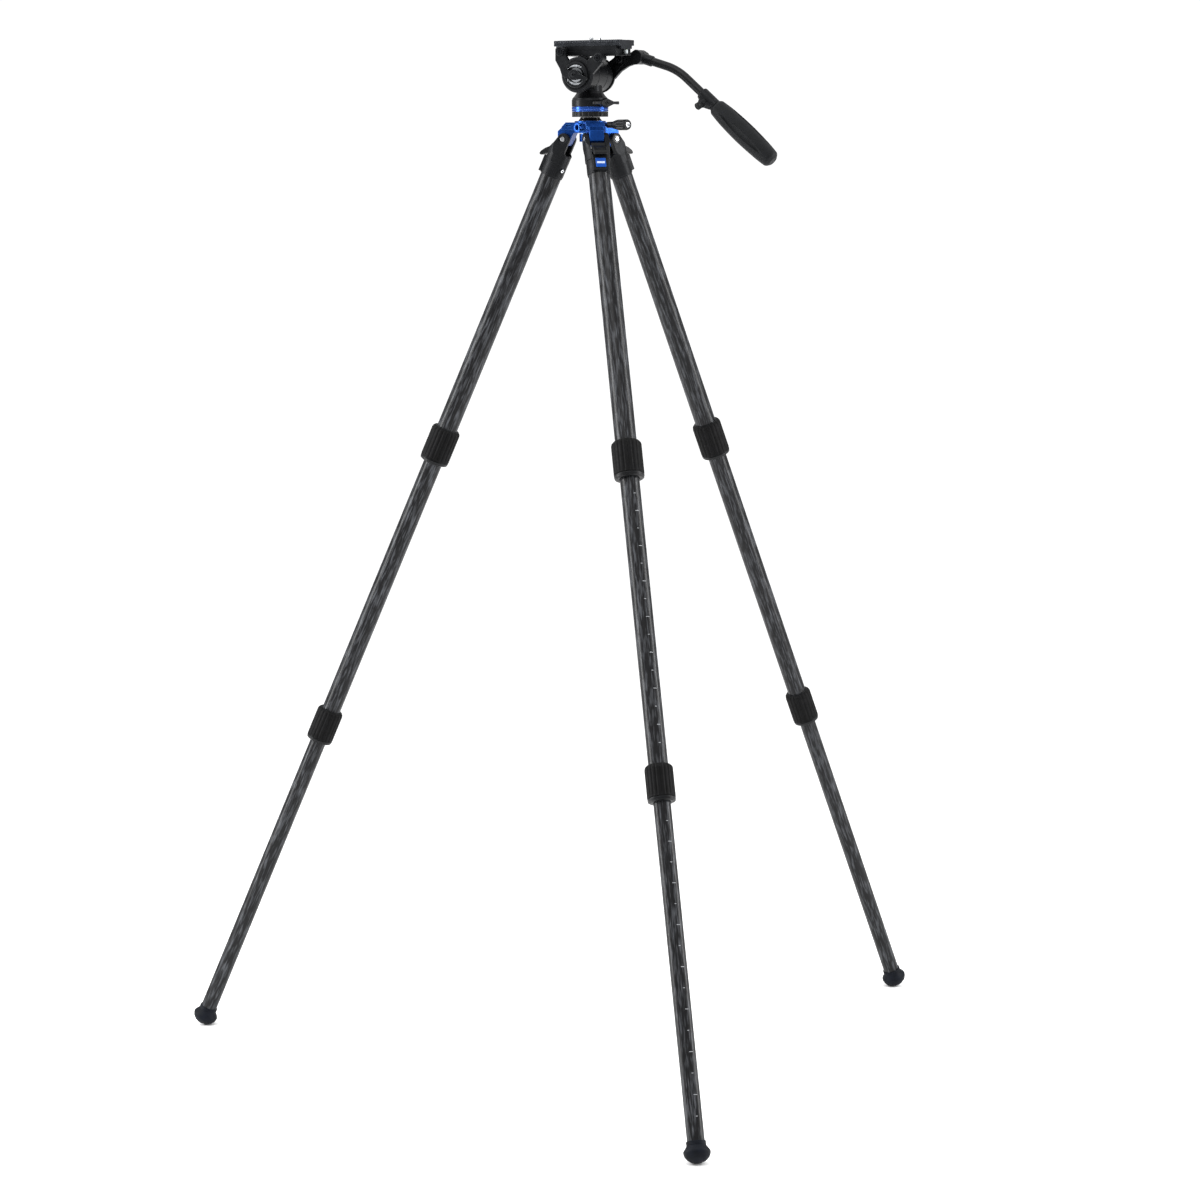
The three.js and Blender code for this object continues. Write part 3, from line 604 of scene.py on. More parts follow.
def angle_tab():
    """The pull-out stop: a thick lever that curves out under the lug to a round tip."""
    outline = [(9.8, -11.4), (9.8, -28.3), (16, -29.3), (20, -32), (23.4, -35.8), (26.4, -36.7),
               (28.4, -34.8), (27.2, -30.5), (23, -24.2), (17.4, -18.8), (15, -12.7)]
    return slab(outline, -10.5, 10.5, 1.5, 1.6)


def twist_lock(top, bottom, radius, above, below):
    """The lock's core, with a ring at its lower end, open for the two tubes."""
    step = (top + bottom) / 2
    profile = [(above + GAP, top), (radius - 4.5, top), (radius - 4.5, top + 6.4),
               (radius - 1.2, top + 6.4), (radius - 1.2, bottom - 6.2), (radius - 0.2, bottom - 5.6),
               (radius - 0.2, bottom - 4.6), (radius - 0.9, bottom - 1.4), (radius - 3.7, bottom),
               (below + GAP, bottom), (below + GAP, step), (above + GAP, step)]
    return turned(downwards(profile), 0.5)


def lock_sleeve(top, bottom, radius):
    """The rubber over a lock, with upright flutes that run onto its sloping shoulder."""
    low, high = 6.6 - bottom, -top - 0.5
    skin = radius - 0.05
    upright = fluted_profile([(radius - 1.1, low), (skin, low + 0.7), (skin, high - 5.4)])
    shoulder = fluted_profile([(skin, high - 5.4), (radius - 0.9, high - 2.6), (radius - 3.4, high)], 5)
    profile = [(radius - 1.8, low), *upright, *shoulder[1:], (radius - 4.4, high),
               (radius - 4.4, high - 5.6), (radius - 1.8, high - 5.6)]
    return turned(profile, 0.2, 300, flutes(20, 0.95, low + 1.2, high + 2, 2.5, 2.6))


def foot():
    """A rubber foot: a ringed neck round the tube that flares out to a domed tread."""
    dome = [(FOOT_R * math.cos(a), FOOT_CENTRE + 1 + (FOOT_HALF_HEIGHT - 1) * math.sin(a))
            for a in (math.radians(6 * i) for i in range(15))]
    wall = TUBE_R["lower"] + SNUG
    neck = wall + 1.4
    cup = [(0, FOOT_CENTRE - 6), (wall, FOOT_CENTRE - 6), (wall, FOOT_CENTRE - 14),
           (neck - 0.3, FOOT_CENTRE - 14)]
    for above in (12.4, 10.4, 8.4):
        ring = FOOT_CENTRE - above
        cup += [(neck, ring - 0.9), (neck, ring), (neck - 0.4, ring + 0.4)]
    cup += [(neck + 0.3, FOOT_CENTRE - 7), (FOOT_R - 2.2, FOOT_CENTRE - 3.2),
            (FOOT_R - 0.5, FOOT_CENTRE - 0.9)]
    return turned(downwards([*cup, *dome, (0, FOOT_CENTRE + FOOT_HALF_HEIGHT)]), 0.35)


def tube(section):
    radius, bore = TUBE_R[section], TUBE_BORE_R[section]
    top, bottom = TUBE_SPAN[section]
    return turned(downwards([(bore, top), (radius, top), (radius, bottom), (bore, bottom)]), 0.3)


def scale_marks(radius, first, pitch, count):
    """Painted length marks on the front of a tube, long and short in turn."""
    bm = bmesh.new()
    outer = (radius + 0.06) * MM
    inner = outer - 0.1 * MM
    start = math.radians(3)
    for i in range(count):
        sweep = (5.2 if i % 2 else 2.8) / radius
        high, low = -(first + pitch * i) * MM, -(first + pitch * i + 0.8) * MM
        corners = ((outer, low), (outer, high), (inner, high), (inner, low))
        columns = []
        for k in range(9):
            angle = start + sweep * k / 8
            across_tube = Vector((math.cos(angle), math.sin(angle), 0))
            columns.append([across_tube * r + Vector((0, 0, z)) for r, z in corners])
        rings = [[bm.verts.new(point) for point in column] for column in columns]
        for a, b in zip(rings, rings[1:]):
            for k in range(4):
                bm.faces.new([a[k], a[(k + 1) % 4], b[(k + 1) % 4], b[k]])
        bm.faces.new(rings[0])
        bm.faces.new(rings[-1])
    return to_mesh(bm)


def add_leg(leg):
    place = leg_frame(leg)

    def add(piece, mesh, finish, body, node=True):
        dress(f"{piece}_{leg}", mesh, finish, body, place, node)

    add("leg_bracket", bracket(), CASTING, f"leg_{leg}")
    add("hinge_bolt", hinge_bolt(), STEEL, "spider")
    add("hinge_washers", bolt_washers(), GLOSS, f"leg_{leg}", False)
    add("angle_tab", angle_tab(), DARK, f"angle_tab_{leg}")
    for section, body in (("upper", "leg"), ("mid", "mid"), ("lower", "lower")):
        add(f"{section}_tube", tube(section), CARBON, f"{body}_{leg}")
    locks = (("upper_lock", UPPER_LOCK, "upper", "mid"), ("lower_lock", LOWER_LOCK, "mid", "lower"))
    for lock, (top, bottom, radius), above, below in locks:
        core = twist_lock(top, bottom, radius, TUBE_R[above], TUBE_R[below])
        add(lock, core, DARK, f"{lock}_{leg}")
        sleeve = lock_sleeve(top, bottom, radius)
        add(f"{lock}_sleeve", sleeve, LOCK_RUBBER, f"{lock}_{leg}", False)
    add("foot", foot(), FOOT_RUBBER, f"lower_{leg}")
    clamp = placed(socket_head(2.6, 18.4, 19.9, 1.4, 0.8), COLLAR_CLAMP)
    add("collar_screw", clamp, STEEL, f"leg_{leg}", False)


def add_badge():
    """A plain blue plate with a white band across it, on the front leg's collar."""
    place = leg_frame("front")
    face = COLLAR[2] + 1.2
    plate = block((face + GAP, face + 1.15), (-7.7, 7.7), (-54.5, -40.3), 0.25)
    band = block((face + 0.9, face + 1.2), (-5.9, 5.9), (-48.9, -45.7), 0.1)
    add_piece("leg_badge_detail", plate, place, BADGE_BLUE, "leg_front", ["leg_badge"])
    add_piece("leg_badge_band", band, place, BAND_WHITE, "leg_front", ())
    middle = scale_marks(TUBE_R["mid"], 570.6, 27.04, 15)
    lower = scale_marks(TUBE_R["lower"], 1064.2, 30.31, 15)
    add_piece("scale_marks_mid", middle, place, SCALE_GREY, "mid_front", ())
    add_piece("scale_marks_lower", lower, place, SCALE_GREY, "lower_front", ())


# ---- Spider and levelling base ----------------------------------------------------------------

LUG_HALF = 11.15
BALL_Z = 1439.5
DISC_Z = (1452.1, 1459.8)
RING_Z = (1460.1, 1467.2)
BASE_R = 27.75


def spider_arm(azimuth):
    top = slab([(14, 1432.6), (43.2, 1432.6), (41.2, 1437.5), (35, 1444), (14, 1444)], -14.3, 14.3, 1.0, 0.8)
    lug = slab(
        [(14, 1427.5), (23.5, 1427.5), (31.5, 1411.5), (34, 1408.6), (38.8, 1407.2), (45.5, 1409.5),
         (48.8, 1416), (48.8, 1431), (36.8, 1441), (14, 1441)],
        -LUG_HALF, LUG_HALF, 0.9, 1.6,
    )
    slots = [block((26.5, 34.5), side, (1437.6, 1440.8), 0.4) for side in ((12.6, 16), (-16, -12.6))]
    return placed(combine(top, [lug], slots), spin(azimuth, "Z"))


def spider():
    """The hub with its three arms, the accessory port and a pocket beside it."""
    hub = turned([(0, 1414.5), (16.6, 1414.5), (16.6, 1427.5), (23.5, 1427.9), (23.7, 1446), (0, 1446)], 0.8)
    solids, holes = [], []
    for leg in LEGS:
        hinge = joint_at(f"leg_splay_{leg}") - AXIS
        azimuth = math.degrees(math.atan2(hinge.y, hinge.x))
        solids.append(spider_arm(azimuth))
        bolt = placed(rod(HINGE_HOLE_R, -30, 30, 0), across(Vector(hinge.xy).length / MM, hinge.z / MM))
        holes.append(placed(bolt, spin(azimuth, "Z")))
    port = shift(z=1436) @ spin(-150, "Z") @ spin(90, "Y")
    solids.append(placed(rod(7.6, 15, 27.5, 0.9), port))
    holes.append(placed(turned([(0, 21.9), (4, 21.9), (4, 26.9), (4.7, 27.6), (4.7, 30), (0, 30)], 0), port))
    pocket = shift(z=1436) @ spin(-127, "Z")
    solids.append(placed(block((18, 25.6), (-8, 8), (-7.6, 7.6), 1.0), pocket))
    holes.append(placed(block((21.5, 30), (-5.6, 5.6), (-5, 5.2), 0.8), pocket))
    ball = bmesh.new()
    bmesh.ops.create_uvsphere(ball, u_segments=64, v_segments=32, radius=21 * MM)
    holes.append(placed(to_mesh(ball), shift(z=BALL_Z)))
    holes.append(rod(8, 1413, BALL_Z, 0))
    knob = UPRIGHT.inverted() @ LEVEL_KNOB
    knob.translation = knob.translation / MM
    holes.append(placed(rod(3.1, 15, 60, 0), knob))
    boss = placed(rod(2.6, 20, 25, 0.6, 32), pocket @ shift(y=-1.5, z=1) @ spin(90, "Y"))
    return joined(combine(hub, solids, holes), boss)


def level_knob():
    """A turned grip with broad flutes on a thin neck."""
    profile = [(3.1, 37.8), (4.7, 37.8), (5.0, 49), (7.0, 56), (8.2, 62), (8.3, 78), (7.3, 80.6),
               (4.6, 80.6), (4.6, 78.6), (3.1, 78.6)]
    return turned(fluted_profile(profile, 12), 0.5, 144, flutes(9, 1.5, 56, 79, 4, 1.5))


def add_base():
    dress("spider", spider(), BLUE, "spider", UPRIGHT)
    neck = [(0, 1428), (15.2, 1428), (18.9, 1437), (18.9, 1442), (17.2, 1447.6), (15.2, 1449.6),
            (15.2, 1451.7), (0, 1451.7)]
    dress("level_ball", turned(neck, 1.2), GLOSS, "level_seat", UPRIGHT)
    low, high = DISC_Z
    disc = fluted_profile([(0, low), (BASE_R - 0.2, low), (BASE_R - 0.2, high), (0, high)])
    ribs = flutes(18, 0.9, low + 0.6, high - 0.6, 0.9, 5.0)
    dress("level_disc", turned(disc, 0.7, 432, ribs), DARK, "level_seat", UPRIGHT)
    low, high = RING_Z
    ring = [(0, low), (BASE_R, low), (BASE_R, low + 2.2), (BASE_R - 0.4, low + 2.6),
            (BASE_R - 0.4, low + 3), (BASE_R, low + 3.4), (BASE_R, high), (0, high)]
    dress("head_ring", turned(ring, 0.5), RING_BLUE, "level_seat", UPRIGHT)
    dress("level_knob", level_knob(), DARK, "level_knob", LEVEL_KNOB)
    screw = joined(rod(2.8, 21.3, 79, 0, 32), socket_head(4.2, 78.9, 80.7, 1.9, 1.2))
    dress("level_spindle", screw, STEEL, "level_knob", LEVEL_KNOB)
    finish_node("level_cup", BRASS)


# ---- Head -----------------------------------------------------------------------------------
# x runs to the rear, y to the far side and z is the height above the floor.

PLATE_IN, PLATE_OUT = 34, 41
FRONT_BOSS = (-29.5, 1550)
REAR_BOSS = (35, 1539.4)
PLATFORM_X = (-37, 57)
PLATFORM_Z = (1543.5, 1557.9)
PLATFORM_HALF = 25
CAMERA_PLATE_X = (-48, 63)
CAMERA_PLATE_Z = (1558.2, 1566.7)
CHANNEL_Z = 1553.2
RAIL_HALF = 17.7
PLATE_LOCK = (6, 1549)
BUTTON = (21, 1549)
LEVEL_AT = (60.6, 2)
SCREW_X = 3.4
SCREW_OUT = 4.6
PIN_X = 18.5
PIN_OUT = 4.8
TILT_AXIS = (TILT.x, TILT.z)
DISH_R = 15.3  # the bright dish inside the dark drum ring
TILT_LOCK_REST = 15  # the lever's front lobe stands this many degrees above level


def pan_housing():
    """The turning base, its dome and neck, and the fluid barrel on the tilt axis."""
    low = RING_Z[1] + GAP
    base = turned(
        [(0, low), (BASE_R, low), (BASE_R, 1477.2), (BASE_R - 0.6, 1478.4), (26.6, 1480.2), (23.6, 1483.4),
         (20.9, 1487.2), (19.2, 1491), (18.5, 1495), (18.5, 1505), (0, 1505)],
        0.8,
    )
    barrel = turned(
        [(0, -33.7), (23.2, -33.7), (25.4, -31.6), (25.4, -14), (24.9, -13.6), (24.9, -12.8), (25.4, -12.4),
         (25.4, 12.4), (24.9, 12.8), (24.9, 13.6), (25.4, 14), (25.4, 31.6), (23.2, 33.7), (0, 33.7)],
        0.5, 128,
    )
    boss = to_head(PAN_LOCK, rod(5, 18, 32, 0.6))
    shaft = placed(rod(6.3, -50, 50, 0), across(*TILT_AXIS))
    return combine(base, [placed(barrel, across(*TILT_AXIS)), boss], [shaft])


def to_head(place, mesh):
    """A mesh drawn in another row frame, as seen from the head's frame."""
    matrix = HEAD.inverted() @ place
    matrix.translation = matrix.translation / MM
    return placed(mesh, matrix)


def lever(hub, hub_span, blade, blade_span, dome):
    """A lever about z: a thick hub and a thinner blade, each with an (x, y) outline, and a screw."""
    lay_flat = MIRROR_Y @ spin(90, "X")
    blade_mesh = placed(slab(blade, *blade_span, 0.9, 1.4), lay_flat)
    hub_mesh = placed(slab(hub, *hub_span, 1.3, 1.6), lay_flat)
    low, high = hub_span
    cap = turned([(0, low), (dome, low), (dome, high - 0.4), (dome * 0.6, high + 1.1), (0, high + 1.1)],
                 1.0, 64)
    return combine(blade_mesh, [hub_mesh, cap], [hexagon(1.8, high - 0.3, 3)])


def pan_lock():
    """A diamond hub with a flat lobe to each side."""
    diamond = [(7.3, 0), (2.6, 12.4), (-2.6, 12.4), (-7.3, 0), (-2.6, -12.4), (2.6, -12.4)]
    lobes = [(2.9, 8), (2.0, 17), (2.6, 24.8), (-2.4, 24.8), (-2.0, 17), (-2.9, 8), (-2.9, -8), (-2.0, -17),
             (-2.4, -24.8), (2.6, -24.8), (2.0, -17), (2.9, -8)]
    return lever(diamond, (32.4, 40.8), lobes, (35, 39.8), 4.2)


def tilt_lock():
    """A triangular lobe to the front and a flat blade to the rear, turned a little from level."""
    hub = arc((0, 0), 8.2, 0, 330, 11)
    lobes = [(-24, 4.4), (-23.6, 2.4), (-18, -6), (-8, -7.6), (0, -5), (9, -4.2), (23, -3.4), (23.9, 1.2),
             (9, 4), (0, 5), (-10, 4.6)]
    level = lever(hub, (44.6, 52.3), lobes, (48.6, 52), 4.6)
    return placed(joined(level, rod(6.1, PLATE_OUT + 2, 45.5, 0.4)), spin(-TILT_LOCK_REST, "Z"))


def side_disc():
    """The round cheek over the barrel's end, stepped down at its rim."""
    profile = [(6.3, PLATE_IN), (26.9, PLATE_IN), (26.9, 37.2), (25.9, 37.9), (25.7, 39.2), (24.2, 39.7),
               (24, PLATE_OUT), (21.3, PLATE_OUT), (21, 40.3), (6.3, 40.3)]
    return placed(turned(profile, 0.35, 128), across(*TILT_AXIS))


def bolt_boss(at):
    return placed(rod(7, PLATFORM_HALF + GAP, PLATE_OUT + 2.2, 0.9, 64), across(*at))


def bolt_hole(at):
    deep = PLATE_OUT - 0.4
    profile = [(0, 10), (2.6, 10), (2.6, deep), (4.6, deep), (4.6, deep + 1.8), (5.4, deep + 2.7),
               (5.4, 60), (0, 60)]
    return placed(turned(profile, 0, 48), across(*at))


def side_plate(arm=()):
    """The far side plate: a disc with an arm up to each end of the platform."""
    front = [(-37.6, 1555.3), (-37.8, 1537), (-26, 1517), (-10, 1530), (-16, 1537), (-20.5, 1545),
             (-20.5, 1555.3)]
    rear = [(15, 1535.5), (12, 1520), (21.8, 1512.5), (40.5, 1531.5), *arc(REAR_BOSS, 8, -45, 120, 12)]
    parts = [slab(front, PLATE_IN, PLATE_OUT, 0.9, 1.8), slab(rear, PLATE_IN, PLATE_OUT, 0.9, 1.2)]
    parts += [bolt_boss(FRONT_BOSS), bolt_boss(REAR_BOSS), *arm]
    cuts = [bolt_hole(FRONT_BOSS), bolt_hole(REAR_BOSS)]
    return combine(side_disc(), parts, cuts)


def handle_arm():
    """The strut from the far plate to the handle's hub, with a sunk web."""
    outline = [(20, 1509), (24, 1509), (35, 1520), (48, 1527.5), *arc((HUB.x, HUB.z), 11.4, -100, 90, 16),
               (48, 1546), (35, 1546), (20, 1530)]
    web = [(27, 1519), (37, 1526.5), (46, 1531.5), (46.5, 1540.5), (44.6, 1541), (43.5, 1534),
           (38, 1530), (28, 1529)]
    arm = slab(outline, PLATE_IN, PLATE_OUT, 0.9, 1.6)
    return combine(arm, cut=[slab(web, PLATE_OUT - 1.6, 60, 0, 1.2), slab(web, 20, PLATE_IN + 1.6, 0, 1.2)])


def platform():
    """The channel that the camera plate slides in."""
    low, high = PLATFORM_Z
    wall = PLATFORM_HALF
    lip = RAIL_HALF + GAP
    section = symmetric([(wall, low), (wall, 1550.6), (wall - 0.5, 1551), (wall - 0.5, 1551.6),
                         (wall, 1552), (wall, high), (lip, high), (lip, CHANNEL_Z)])
    body = placed(slab(section, -PLATFORM_X[1], -PLATFORM_X[0], 0.7, 0.35), LENGTHWISE)
    ledge = block((PLATFORM_X[1] - 2, LEVEL_AT[0] + 3.9), (-7.9, 11.9), (low + 0.1, low + 2.6), 0.6)
    pockets = [block((x, x + 18), (-16, 16), (low - 5, low + 4.5), 0) for x in (-25, -3, 19)]
    holes = [placed(rod(2.6, -60, 60, 0), across(*at)) for at in (FRONT_BOSS, REAR_BOSS)]
    holes.append(placed(rod(2.8, 19, 60, 0), across(*BUTTON)))
    holes.append(placed(rod(2.3, 17, 60, 0), across(*PLATE_LOCK)))
    return combine(body, [ledge], [*pockets, *holes])


def camera_plate():
    """The sliding plate: a slab with a rib below, a groove down each side and a bevelled top."""
    low, top = CAMERA_PLATE_Z
    half = PLATFORM_HALF
    section = symmetric([(RAIL_HALF, CHANNEL_Z + GAP), (RAIL_HALF, low), (half, low), (half, 1561),
                         (half - 0.6, 1561.4), (half - 0.6, 1562), (half, 1562.4), (half, top - 0.9),
                         (half - 0.9, top)])
    slab_mesh = placed(slab(section, -CAMERA_PLATE_X[1], -CAMERA_PLATE_X[0], 0.7, 0.2), LENGTHWISE)
    screw = turned([(0, 1540), (8.4, 1540), (8.4, 1560.8), (3.4, 1560.8), (3.4, top - 0.6), (4, top),
                    (4, top + 3), (0, top + 3)], 0)
    pin = turned([(0, top - 4), (2.3, top - 4), (2.3, top - 0.4), (2.7, top), (2.7, top + 3),
                  (0, top + 3)], 0)
    strips = [block((-45, 60), side, (top - 0.8, top + 3), 0) for side in ((9.5, 20.5), (-20.5, -9.5))]
    return combine(slab_mesh, cut=[placed(screw, shift(SCREW_X)), placed(pin, shift(PIN_X)), *strips])


def plate_pads():
    """Ribbed rubber strips let into the camera plate's top."""
    top = CAMERA_PLATE_Z[1]
    pads = []
    for low, high in ((9.7, 20.3), (-20.3, -9.7)):
        pads.append(block((-44.8, 59.8), (low, high), (top - 0.75, top - 0.15), 0.1))
        for i in range(34):
            x = -43.4 + 3.1 * i
            pads.append(block((x, x + 1.7), (low + 0.5, high - 0.5), (top - 0.3, top + 0.3), 0.2))
    return joined(*pads)


def plate_ticks():
    """Fine marks along both sides of the camera plate, every fifth one longer."""
    marks = []
    for side in (-1, 1):
        for i in range(37):
            x = -45.5 + 2.9 * i
            low = 1564 if i % 5 else 1563.2
            face = sorted((side * (PLATFORM_HALF - 0.3), side * (PLATFORM_HALF + 0.05)))
            marks.append(block((x, x + 0.35), face, (low, CAMERA_PLATE_Z[1] - 1.2), 0))
    return joined(*marks)


def thread(radius, low, high, pitch=1.27):
    """A screw's crests and roots between two heights, with a chamfered end."""
    profile = [(0, low)]
    z = low
    while z < high - pitch:
        profile += [(radius - 0.7, z), (radius, z + pitch / 2)]
        z += pitch
    return turned([*profile, (radius - 0.8, high), (0, high)], 0.12, 48)


def camera_screw():
    top = CAMERA_PLATE_Z[1]
    return joined(socket_head(8, 1556, 1560.4, 3.5, 1.5), thread(3.1, 1558, top + SCREW_OUT))


def drum_dish():
    """The bright dish round the tilt lock on the near side."""
    inner = PLATE_OUT + GAP
    return turned([(6.6, inner), (DISH_R, inner), (DISH_R, inner + 2.5), (14.4, inner + 2.2),
                   (10.6, inner + 0.9), (6.6, inner + 1.3)], 0.3, 128)


def drum_rim():
    """The dark ring that holds the dish, with a step down to its outer edge."""
    inner = PLATE_OUT + GAP
    return turned([(DISH_R + 0.05, inner), (19.7, inner), (19.7, inner + 1.9), (18.6, inner + 2.9),
                   (16.4, inner + 2.9), (DISH_R + 0.05, inner + 2.3)], 0.3, 128)


def platform_bolt():
    head = socket_head(4.1, PLATE_OUT, PLATE_OUT + 1.8, 2.1, 1.2)
    return joined(head, rod(2.3, 17, PLATE_OUT + 0.1, 0, 24))


def plate_lock():
    x, z = PLATE_LOCK
    outline = [*arc((x, z), 5, 30, 330, 16), (x + 9, z - 4.5), (x + 9, z - 1.5)]
    lever = slab(outline, PLATFORM_HALF + GAP, PLATFORM_HALF + 4.9, 0.9, 1.0)
    pivot = placed(rod(2, 18, PLATFORM_HALF + 1, 0, 24), across(x, z))
    return combine(lever, [pivot])


def bubble_level():
    low, high = PLATFORM_Z[0] + 2.9, CHANNEL_Z - 0.7
    case = turned([(0, low), (3, low), (3, high - 0.6), (2.2, high - 0.6), (2.2, high - 1.2),
                   (0, high - 1.2)], 0.2, 48)
    glass = turned([(0, high - 1.2), (2.15, high - 1.2), (1.7, high - 0.4), (0.9, high), (0, high)], 0.2, 48)
    return placed(case, shift(*LEVEL_AT)), placed(glass, shift(*LEVEL_AT))


def add_head():
    outwards_near = HEAD @ Matrix.Translation(Vector((TILT.x, 0, TILT.z)) * MM) @ spin(90, "X")
    dress("pan_housing", pan_housing(), SATIN, "pan")
    dress("pan_lock", pan_lock(), CASTING, "pan_lock", PAN_LOCK)
    dress("side_plate_near", placed(side_plate(), MIRROR_Y), SATIN, "tilt")
    dress("side_plate_far", side_plate([handle_arm()]), SATIN, "tilt")
    dress("drum_ring", drum_dish(), POLISHED, "tilt", outwards_near)
    dress("drum_rim", drum_rim(), SATIN, "tilt", outwards_near, node=False)
    dress("tilt_lock", tilt_lock(), SATIN, "tilt_lock", outwards_near)
    dress("platform", platform(), SATIN, "tilt")
    for where, at in (("front", FRONT_BOSS), ("rear", REAR_BOSS)):
        far, near = on_both_sides(platform_bolt(), platform_bolt(), at)
        dress(f"platform_bolt_far_{where}", far, BLACK_STEEL, "tilt")
        dress(f"platform_bolt_near_{where}", near, BLACK_STEEL, "tilt")
    dress("plate_lock", plate_lock(), CASTING, "plate_lock")
    button = placed(rod(2.5, 21.5, PLATFORM_HALF + 4, 0.6), across(*BUTTON))
    dress("safety_button", button, STEEL, "safety_button")
    case, glass = bubble_level()
    dress("bubble_level", case, VIAL_CASE, "tilt")
    dress("level_glass", glass, VIAL, "tilt", node=False)
    dress("camera_plate", camera_plate(), PLATE_GREY, "camera_plate")
    dress("plate_pads", plate_pads(), LOCK_RUBBER, "camera_plate", node=False)
    dress("plate_ticks", plate_ticks(), TICK_GREY, "camera_plate", node=False)
    dress("camera_screw", placed(camera_screw(), shift(SCREW_X)), STEEL, "camera_screw")
    top = CAMERA_PLATE_Z[1]
    pin = placed(rod(2, top - 3.7, top + PIN_OUT, 0.7), shift(PIN_X))
    dress("locating_pin", pin, STEEL, "camera_plate")
    finish_node("tilt_shaft", STEEL)


# ---- Handle ---------------------------------------------------------------------------------

BAR_R = 6.5
HUB_OUT = 59.8
KNOB_TURN = -50  # degrees round the collar, from straight down to the near side
BEND_REACH = 20  # length of each straight that the bend takes
TO_COLLAR = 54  # from the bend to the collar
COLLAR_LENGTH = 31.4
GRIP_START = TO_COLLAR + COLLAR_LENGTH + GAP
GRIP_LENGTH = 124.5


def bar_hub():
    """The hub on the side plate, with the socket that the bar is fixed in."""
    hub_at = (HUB.x, HUB.z)
    profile = [(0, PLATE_OUT + GAP), (11, PLATE_OUT + GAP), (11, 45), (10.4, 45.5), (10.4, 46.3),
               (11, 46.8), (11, HUB_OUT), (0, HUB_OUT)]
    hub = placed(turned(profile, 0.7, 72), across(*hub_at))
    along_bar = along_handle(BAR_START, TO_BEND)
    socket = to_head(along_bar, rod(BAR_R + 1.8, 0, 23, 1.0, 64))
    bore = to_head(along_bar, rod(BAR_R + SNUG, 13, 40, 0, 64))
    return combine(hub, [socket], [bore, placed(rod(3.3, 30, 70, 0), across(*hub_at))])


def bar_clamp():
    low = HUB_OUT + GAP
    profile = fluted_profile([(0, low), (8.9, low), (8.9, low + 8.6), (0, low + 8.6)], 6)
    knob = turned(profile, 0.8, 144, flutes(12, 0.9, low + 0.6, low + 8, 1.2, 1.5))
    return placed(joined(knob, rod(3, PLATE_OUT + 1, low + 0.5, 0, 32)), across(HUB.x, HUB.z))


def pan_bar():
    """The bent bar: two straights joined by a wide curve."""
    start = BAR_START + TO_BEND * 13.3
    end = BEND + DOWN_GRIP * (TO_COLLAR + 18)
    before, after = BEND - TO_BEND * BEND_REACH, BEND + DOWN_GRIP * BEND_REACH
    curve = []
    for k in range(25):
        t = k / 24
        curve.append(before.lerp(BEND, t).lerp(BEND.lerp(after, t), t))
    return swept([start, *curve, end], BAR_R, Vector((0, 1, 0)), 48)


def handle_collar():
    """The clamp collar: a split sleeve with a sloping ear for its screw."""
    low, high = TO_COLLAR, TO_COLLAR + COLLAR_LENGTH
    inner = BAR_R + SNUG
    sleeve = turned([(inner, low), (9.1, low), (9.8, low + 1.6), (9.8, high - 7), (9.4, high - 6.6),
                     (9.4, high - 5.8), (9.8, high - 5.4), (9.8, high - 1.6), (9.1, high), (5.5, high),
                     (5.5, low + 18.3), (inner, low + 18.3)], 0.4, 72)
    outline = [(8, low + 2.5), (12.5, low + 5.5), (14.2, low + 9), (14.2, low + 19),
               (12.5, low + 22.5), (8, low + 29.5)]
    ear = placed(slab(outline, -4.8, 4.8, 1.2, 1.5), spin(KNOB_TURN, "Z"))
    return combine(sleeve, [ear])


def collar_knob_place():
    return basis(joint_at("collar_knob_turn"), joint_axis("handle_extend"), joint_axis("collar_knob_turn"))


def collar_knob(base):
    """A small fluted screw head, from base along its own axis."""
    upright = fluted_profile([(5.7, base + 2.2), (5.7, base + 10.0)], 6)
    profile = [(0, base), (3.6, base), (3.6, base + 1.2), *upright, (4.2, base + 11.2), (0, base + 11.2)]
    return turned(profile, 0.4, 96, flutes(8, 0.7, base + 2.6, base + 10, 1.2, 1.5))


def grip():
    """A moulded rubber grip, fullest in its middle, with four long tapered grooves."""
    shares = ((0.02, 13.2), (0.18, 15.5), (0.4, 16.8), (0.58, 16.8), (0.8, 15.6), (0.92, 14.2),
              (0.965, 12.8), (1, 7.6))
    outer = smooth_line([(radius, GRIP_START + share * GRIP_LENGTH) for share, radius in shares], 9)
    profile = [(5.5, GRIP_START + 22), (5.5, GRIP_START), (11.6, GRIP_START), *outer, (0, outer[-1].y + 0.1)]
    profile.insert(0, (0, GRIP_START + 22))
    first, last = GRIP_START + 0.13 * GRIP_LENGTH, GRIP_START + 0.86 * GRIP_LENGTH
    half_turn = math.pi / 4

    def grooves(angle, z):
        share = (z - first) / (last - first)
        if not 0 < share < 1:
            return 0
        width = 0.27 * math.sin(math.pi * share) ** 0.6
        away = abs((angle + half_turn) % (2 * half_turn) - half_turn)
        across_groove = max(0.0, 1 - (away / width) ** 2)
        return 3.0 * across_groove**0.4 * min(1.0, 8 * share, 8 * (1 - share))

    return turned(profile, 0, 192, grooves)


